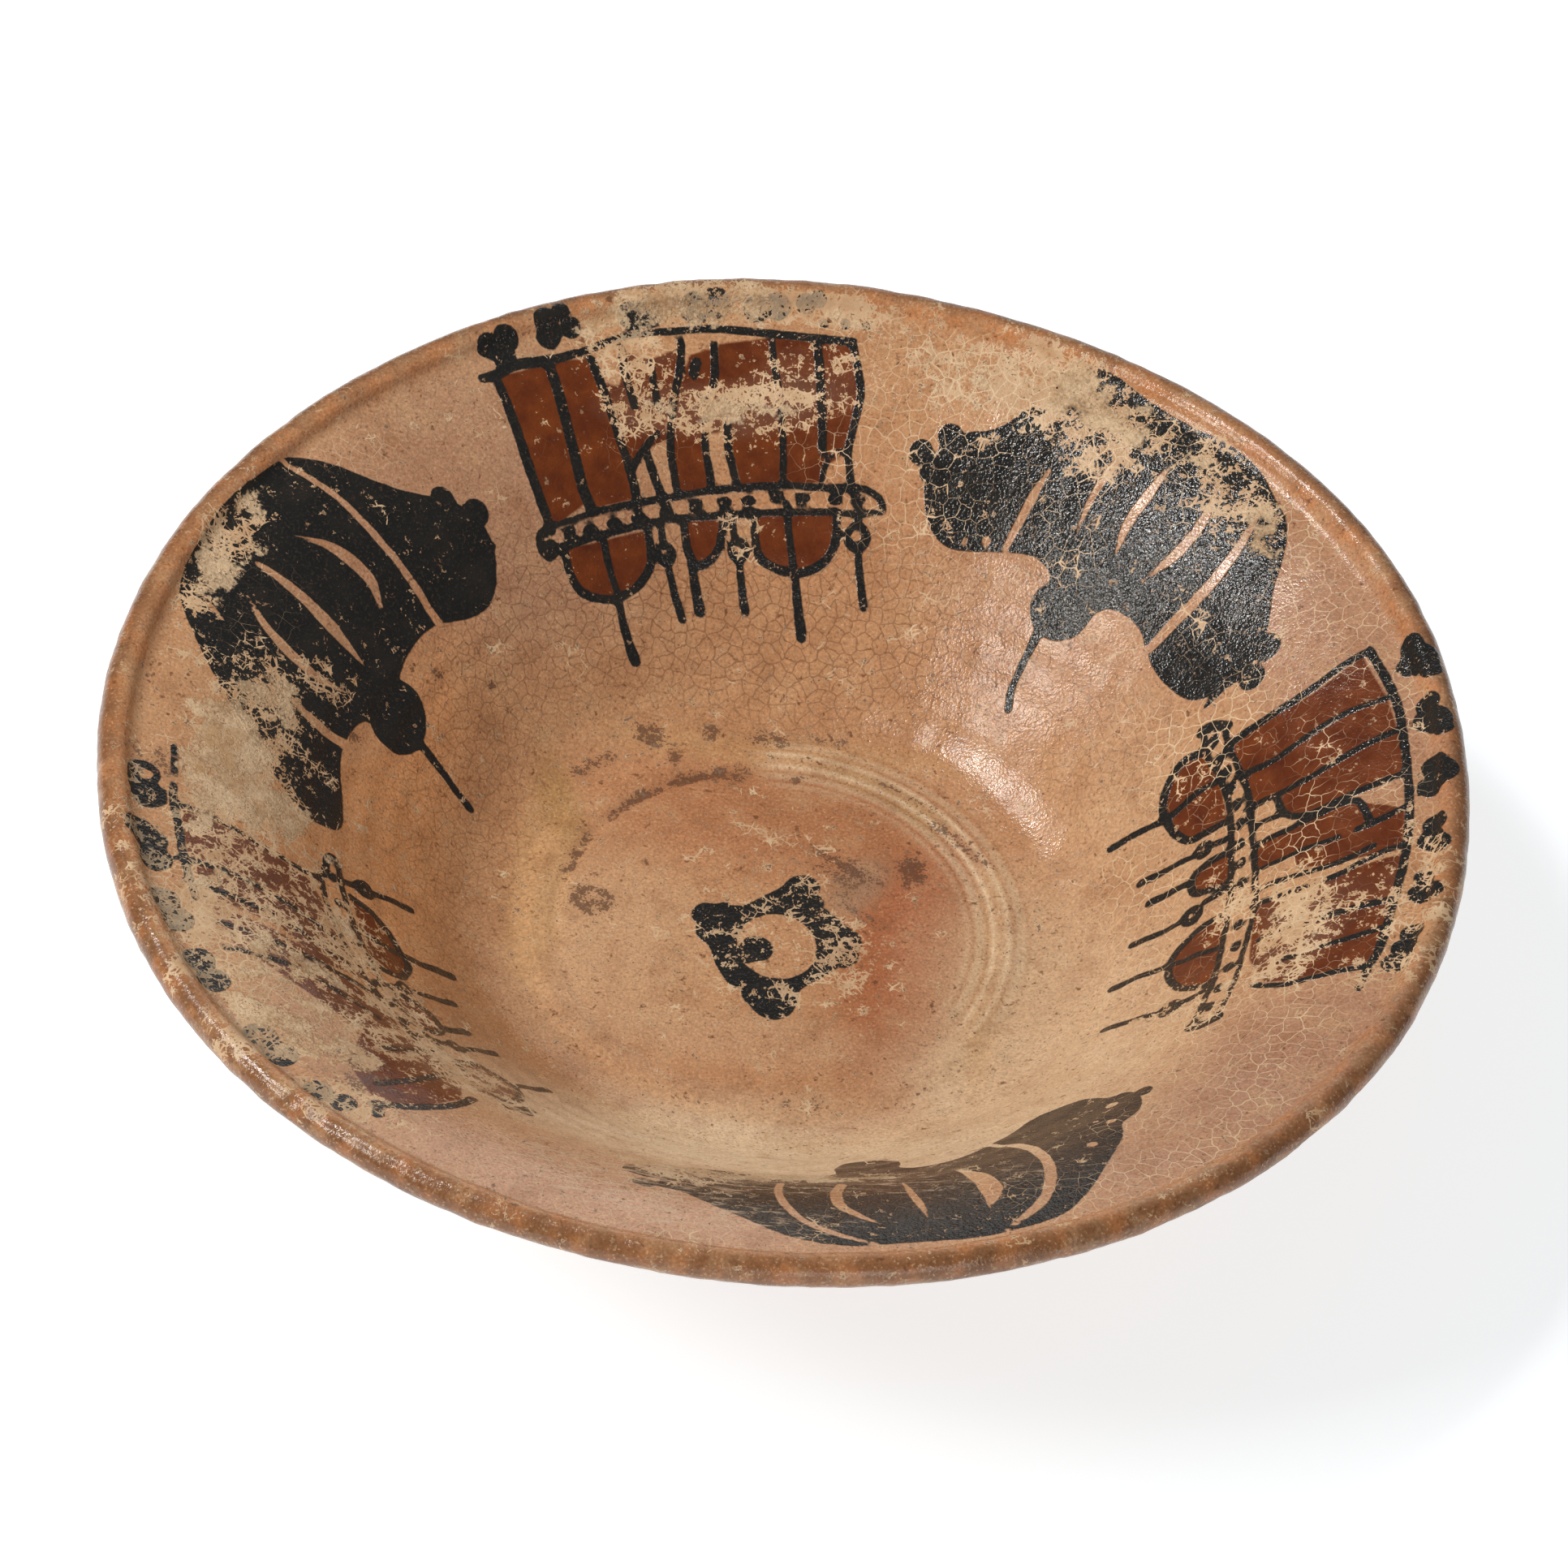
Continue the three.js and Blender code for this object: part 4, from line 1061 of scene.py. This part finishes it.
# Where the paint or the glaze over bare slip is worn away it is pale and chalky.
chalk_tone = add(tree, "ShaderNodeMapRange", {"Value": film, 1: 0.35, 2: 0.65, 3: 0, 4: 1}).outputs[0]
chalk_colour = add(tree, "ShaderNodeMix", {"Factor": chalk_tone, 6: (*linear("#c09a72"), 1),
    7: (*linear("#e4c8a2"), 1)}, data_type="RGBA").outputs[2]
chalky = add(tree, "ShaderNodeMath", {0: gone, 1: 0.75}, operation="MULTIPLY").outputs[0]
colour = add(tree, "ShaderNodeMix", {"Factor": chalky, 6: colour, 7: chalk_colour},
    data_type="RGBA").outputs[2]

# Fine cream crazing in the glaze, stronger in some places than in others.
pale_line = add(tree, "ShaderNodeMapRange", {"Value": nets[0], 1: 0.17, 2: 0.04, 3: 0, 4: 1}).outputs[0]
line_power = add(tree, "ShaderNodeMapRange", {"Value": patchy, 1: 0.35, 2: 0.65, 3: 0.25, 4: 0.85}).outputs[0]
pale_line = add(tree, "ShaderNodeMath", {0: pale_line, 1: line_power}, operation="MULTIPLY").outputs[0]
pale_line = add(tree, "ShaderNodeMath", {0: pale_line, 1: pale_in}, operation="MULTIPLY").outputs[0]
colour = add(tree, "ShaderNodeMix", {"Factor": pale_line, 6: colour, 7: (*linear("#e6cba6"), 1)},
    data_type="RGBA").outputs[2]

# The paint: where each colour covers, its ghost where it has worn off, and its own tones.
masks = {}
for name, distance, soft in (("red", red_in, 0.4), ("black", black_in, 0.2)):
    edge = add(tree, "ShaderNodeMath", {0: ragged, 1: 0.5, 2: distance}, operation="MULTIPLY_ADD").outputs[0]
    edge = add(tree, "ShaderNodeMath", {0: edge, 1: 0.06}, operation="SUBTRACT").outputs[0]
    cover = add(tree, "ShaderNodeMapRange", {"Value": edge, 1: soft, 2: -soft, 3: 0, 4: 1},
                interpolation_type="SMOOTHSTEP").outputs[0]
    masks[name] = add(tree, "ShaderNodeMath", {0: cover, 1: keeps}, operation="MULTIPLY").outputs[0]
blotched = add(tree, "ShaderNodeMapRange", {"Value": flake, 1: 0.4, 2: 0.6, 3: 0.35, 4: 1}).outputs[0]
ghost = add(tree, "ShaderNodeMath", {0: cover, 1: ghost_in}, operation="MULTIPLY").outputs[0]
ghost = add(tree, "ShaderNodeMath", {0: ghost, 1: blotched}, operation="MULTIPLY").outputs[0]
colour = add(tree, "ShaderNodeMix", {"Factor": ghost, 6: colour, 7: (*linear("#7d7361"), 1)},
    data_type="RGBA").outputs[2]
red_tone = add(tree, "ShaderNodeMapRange", {"Value": flake, 1: 0.2, 2: 0.75, 3: 0, 4: 1}).outputs[0]
red_colour = add(tree, "ShaderNodeMix", {"Factor": red_tone, 6: (*linear("#4c1c0a"), 1),
    7: (*linear("#7a3a0f"), 1)}, data_type="RGBA").outputs[2]
red_faded = add(tree, "ShaderNodeMapRange", {"Value": worn_in, 1: 0.25, 2: 0.6, 3: 0, 4: 0.5}).outputs[0]
red_colour = add(tree, "ShaderNodeMix", {"Factor": red_faded, 6: red_colour, 7: (*linear("#86624e"), 1)},
                 data_type="RGBA").outputs[2]
colour = add(tree, "ShaderNodeMix", {"Factor": masks["red"], 6: colour, 7: red_colour},
    data_type="RGBA").outputs[2]
thin = add(tree, "ShaderNodeMapRange", {"Value": worn_in, 1: 0.25, 2: 0.8, 3: 0, 4: 0.8}).outputs[0]
black_tone = add(tree, "ShaderNodeMapRange", {"Value": mottle, 1: 0.45, 2: 0.75, 3: 0, 4: 0.4}).outputs[0]
black_tone = add(tree, "ShaderNodeMath", {0: black_tone, 1: thin}, operation="MAXIMUM").outputs[0]
sandy = add(tree, "ShaderNodeMapRange", {"Value": grain, 1: 0.5, 2: 0.75, 3: 0, 4: 0.7}).outputs[0]
black_tone = add(tree, "ShaderNodeMath", {0: black_tone, 1: sandy}, operation="MAXIMUM").outputs[0]
browned = add(tree, "ShaderNodeMath", {0: scuffed_in, 1: 0.55}, operation="MULTIPLY").outputs[0]
black_tone = add(tree, "ShaderNodeMath", {0: black_tone, 1: browned}, operation="MAXIMUM").outputs[0]
black_colour = add(tree, "ShaderNodeMix", {"Factor": black_tone, 6: (*linear("#191918"), 1),
    7: (*linear("#3b332a"), 1)}, data_type="RGBA").outputs[2]
colour = add(tree, "ShaderNodeMix", {"Factor": masks["black"], 6: colour, 7: black_colour},
    data_type="RGBA").outputs[2]

# Scuffs: pale streaks along the near side, where the pot was rubbed.
drawn_out = add(tree, "ShaderNodeVectorMath", {0: flat_mm, 1: (0.2, 1, 1)}, operation="MULTIPLY").outputs[0]
streaks = add(tree, "ShaderNodeTexNoise", {
    "Vector": drawn_out, "Scale": 1 / 1.5, "Detail": 3, "Roughness": 0.65}).outputs["Fac"]
for field, weight in ((scuffed_in, 0.3), (grain, 0.15)):
    streaks = add(tree, "ShaderNodeMath", {0: field, 1: weight, 2: streaks},
        operation="MULTIPLY_ADD").outputs[0]
streaks = add(tree, "ShaderNodeMapRange", {"Value": streaks, 1: 0.83, 2: 0.99, 3: 0, 4: 0.75}).outputs[0]
colour = add(tree, "ShaderNodeMix", {"Factor": streaks, 6: colour, 7: (*linear("#cdb193"), 1)},
    data_type="RGBA").outputs[2]

# Stains: brown specks that gather in the patches.
speckled = stain_in
for field, weight in ((fleck, 2.0), (grain, 1.8)):
    speckled = add(tree, "ShaderNodeMath", {0: field, 1: weight, 2: speckled},
        operation="MULTIPLY_ADD").outputs[0]
stained = add(tree, "ShaderNodeMapRange", {"Value": speckled, 1: 2.26, 2: 2.5, 3: 0, 4: 0.78}).outputs[0]
colour = add(tree, "ShaderNodeMix", {"Factor": stained, 6: colour, 7: (*linear("#5a3a2a"), 1)},
    data_type="RGBA").outputs[2]

# Deposit: a matt skin of lime and earth in patches with ragged edges.
reach = add(tree, "ShaderNodeMapRange", {"Value": crust_in, 1: 0, 2: 1, 3: 0.86, 4: 0.30}).outputs[0]
crusted = add(tree, "ShaderNodeMath", {0: film, 1: reach}, operation="SUBTRACT").outputs[0]
crusted = add(tree, "ShaderNodeMapRange", {"Value": crusted, 1: -0.012, 2: 0.025, 3: 0, 4: 0.84}).outputs[0]
holes = add(tree, "ShaderNodeMapRange", {"Value": fleck, 1: 0.6, 2: 0.55, 3: 0.1, 4: 1}).outputs[0]
crusted = add(tree, "ShaderNodeMath", {0: crusted, 1: holes}, operation="MULTIPLY").outputs[0]
crust_tone = add(tree, "ShaderNodeMath", {0: grain, 1: 0.6, 2: film}, operation="MULTIPLY_ADD").outputs[0]
crust_tone = add(tree, "ShaderNodeMapRange", {"Value": crust_tone, 1: 0.66, 2: 0.98, 3: 0, 4: 1}).outputs[0]
crust_colour = add(tree, "ShaderNodeMix", {"Factor": crust_tone, 6: (*linear("#a07f5c"), 1),
    7: (*linear("#dcbf9a"), 1)}, data_type="RGBA").outputs[2]
ochre_spots = add(tree, "ShaderNodeMapRange", {"Value": mottle, 1: 0.52, 2: 0.64, 3: 0, 4: 0.5}).outputs[0]
crust_colour = add(tree, "ShaderNodeMix", {"Factor": ochre_spots, 6: crust_colour,
    7: (*linear("#b8895a"), 1)}, data_type="RGBA").outputs[2]
colour = add(tree, "ShaderNodeMix", {"Factor": crusted, 6: colour, 7: crust_colour},
    data_type="RGBA").outputs[2]

# Roughness: a wet shine on the black, less on bare slip and where paint is gone, matt deposit, and
# bare clay below the glaze line.
dull = add(tree, "ShaderNodeMapRange", {"Value": flake, 1: 0.35, 2: 0.7, 3: 0.17, 4: 0.32}).outputs[0]
dull = add(tree, "ShaderNodeMath", {0: gone, 1: 0.18, 2: dull}, operation="MULTIPLY_ADD").outputs[0]
dull = add(tree, "ShaderNodeMath", {0: masks["black"], 1: -0.05, 2: dull},
    operation="MULTIPLY_ADD").outputs[0]
dull = add(tree, "ShaderNodeMix", {"Factor": crusted, 2: dull, 3: 0.82}, data_type="FLOAT").outputs[0]
bare = add(tree, "ShaderNodeMath", {0: 1, 1: glazed_in}, operation="SUBTRACT").outputs[0]
dull = add(tree, "ShaderNodeMix", {"Factor": bare, 2: dull, 3: 0.85}, data_type="FLOAT").outputs[0]

# Height in tenths of a millimetre: mottles, flecks and grain, lumps in the thick black paint, and
# deposit that stands up. The cracks are too narrow to need a height of their own.
level = add(tree, "ShaderNodeMath", {0: mottle, 1: 0.6}, operation="MULTIPLY").outputs[0]
for field, weight in ((fleck, 0.35), (crusted, 1.2), (grain, 1.15)):
    level = add(tree, "ShaderNodeMath", {0: field, 1: weight, 2: level}, operation="MULTIPLY_ADD").outputs[0]
lumps = add(tree, "ShaderNodeMath", {0: fleck, 1: -0.5}, operation="ADD").outputs[0]
lumps = add(tree, "ShaderNodeMath", {0: lumps, 1: 1.2, 2: 0.2}, operation="MULTIPLY_ADD").outputs[0]
lumps = add(tree, "ShaderNodeMath", {0: grain, 1: 0.9, 2: lumps}, operation="MULTIPLY_ADD").outputs[0]
level = add(tree, "ShaderNodeMath", {0: cover, 1: lumps, 2: level}, operation="MULTIPLY_ADD").outputs[0]
normal = add(tree, "ShaderNodeBump", {"Strength": 1, "Distance": 0.0001, "Height": level}).outputs[0]
surface = add(tree, "ShaderNodeBsdfPrincipled", {
    "Base Color": colour, "Roughness": dull, "IOR": 1.5, "Specular IOR Level": 0.42, "Normal": normal})
add(tree, "ShaderNodeOutputMaterial", {"Surface": surface.outputs[0]})
bowl_mesh.materials.append(glaze)

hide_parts("bowl")
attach(bowl, "root")
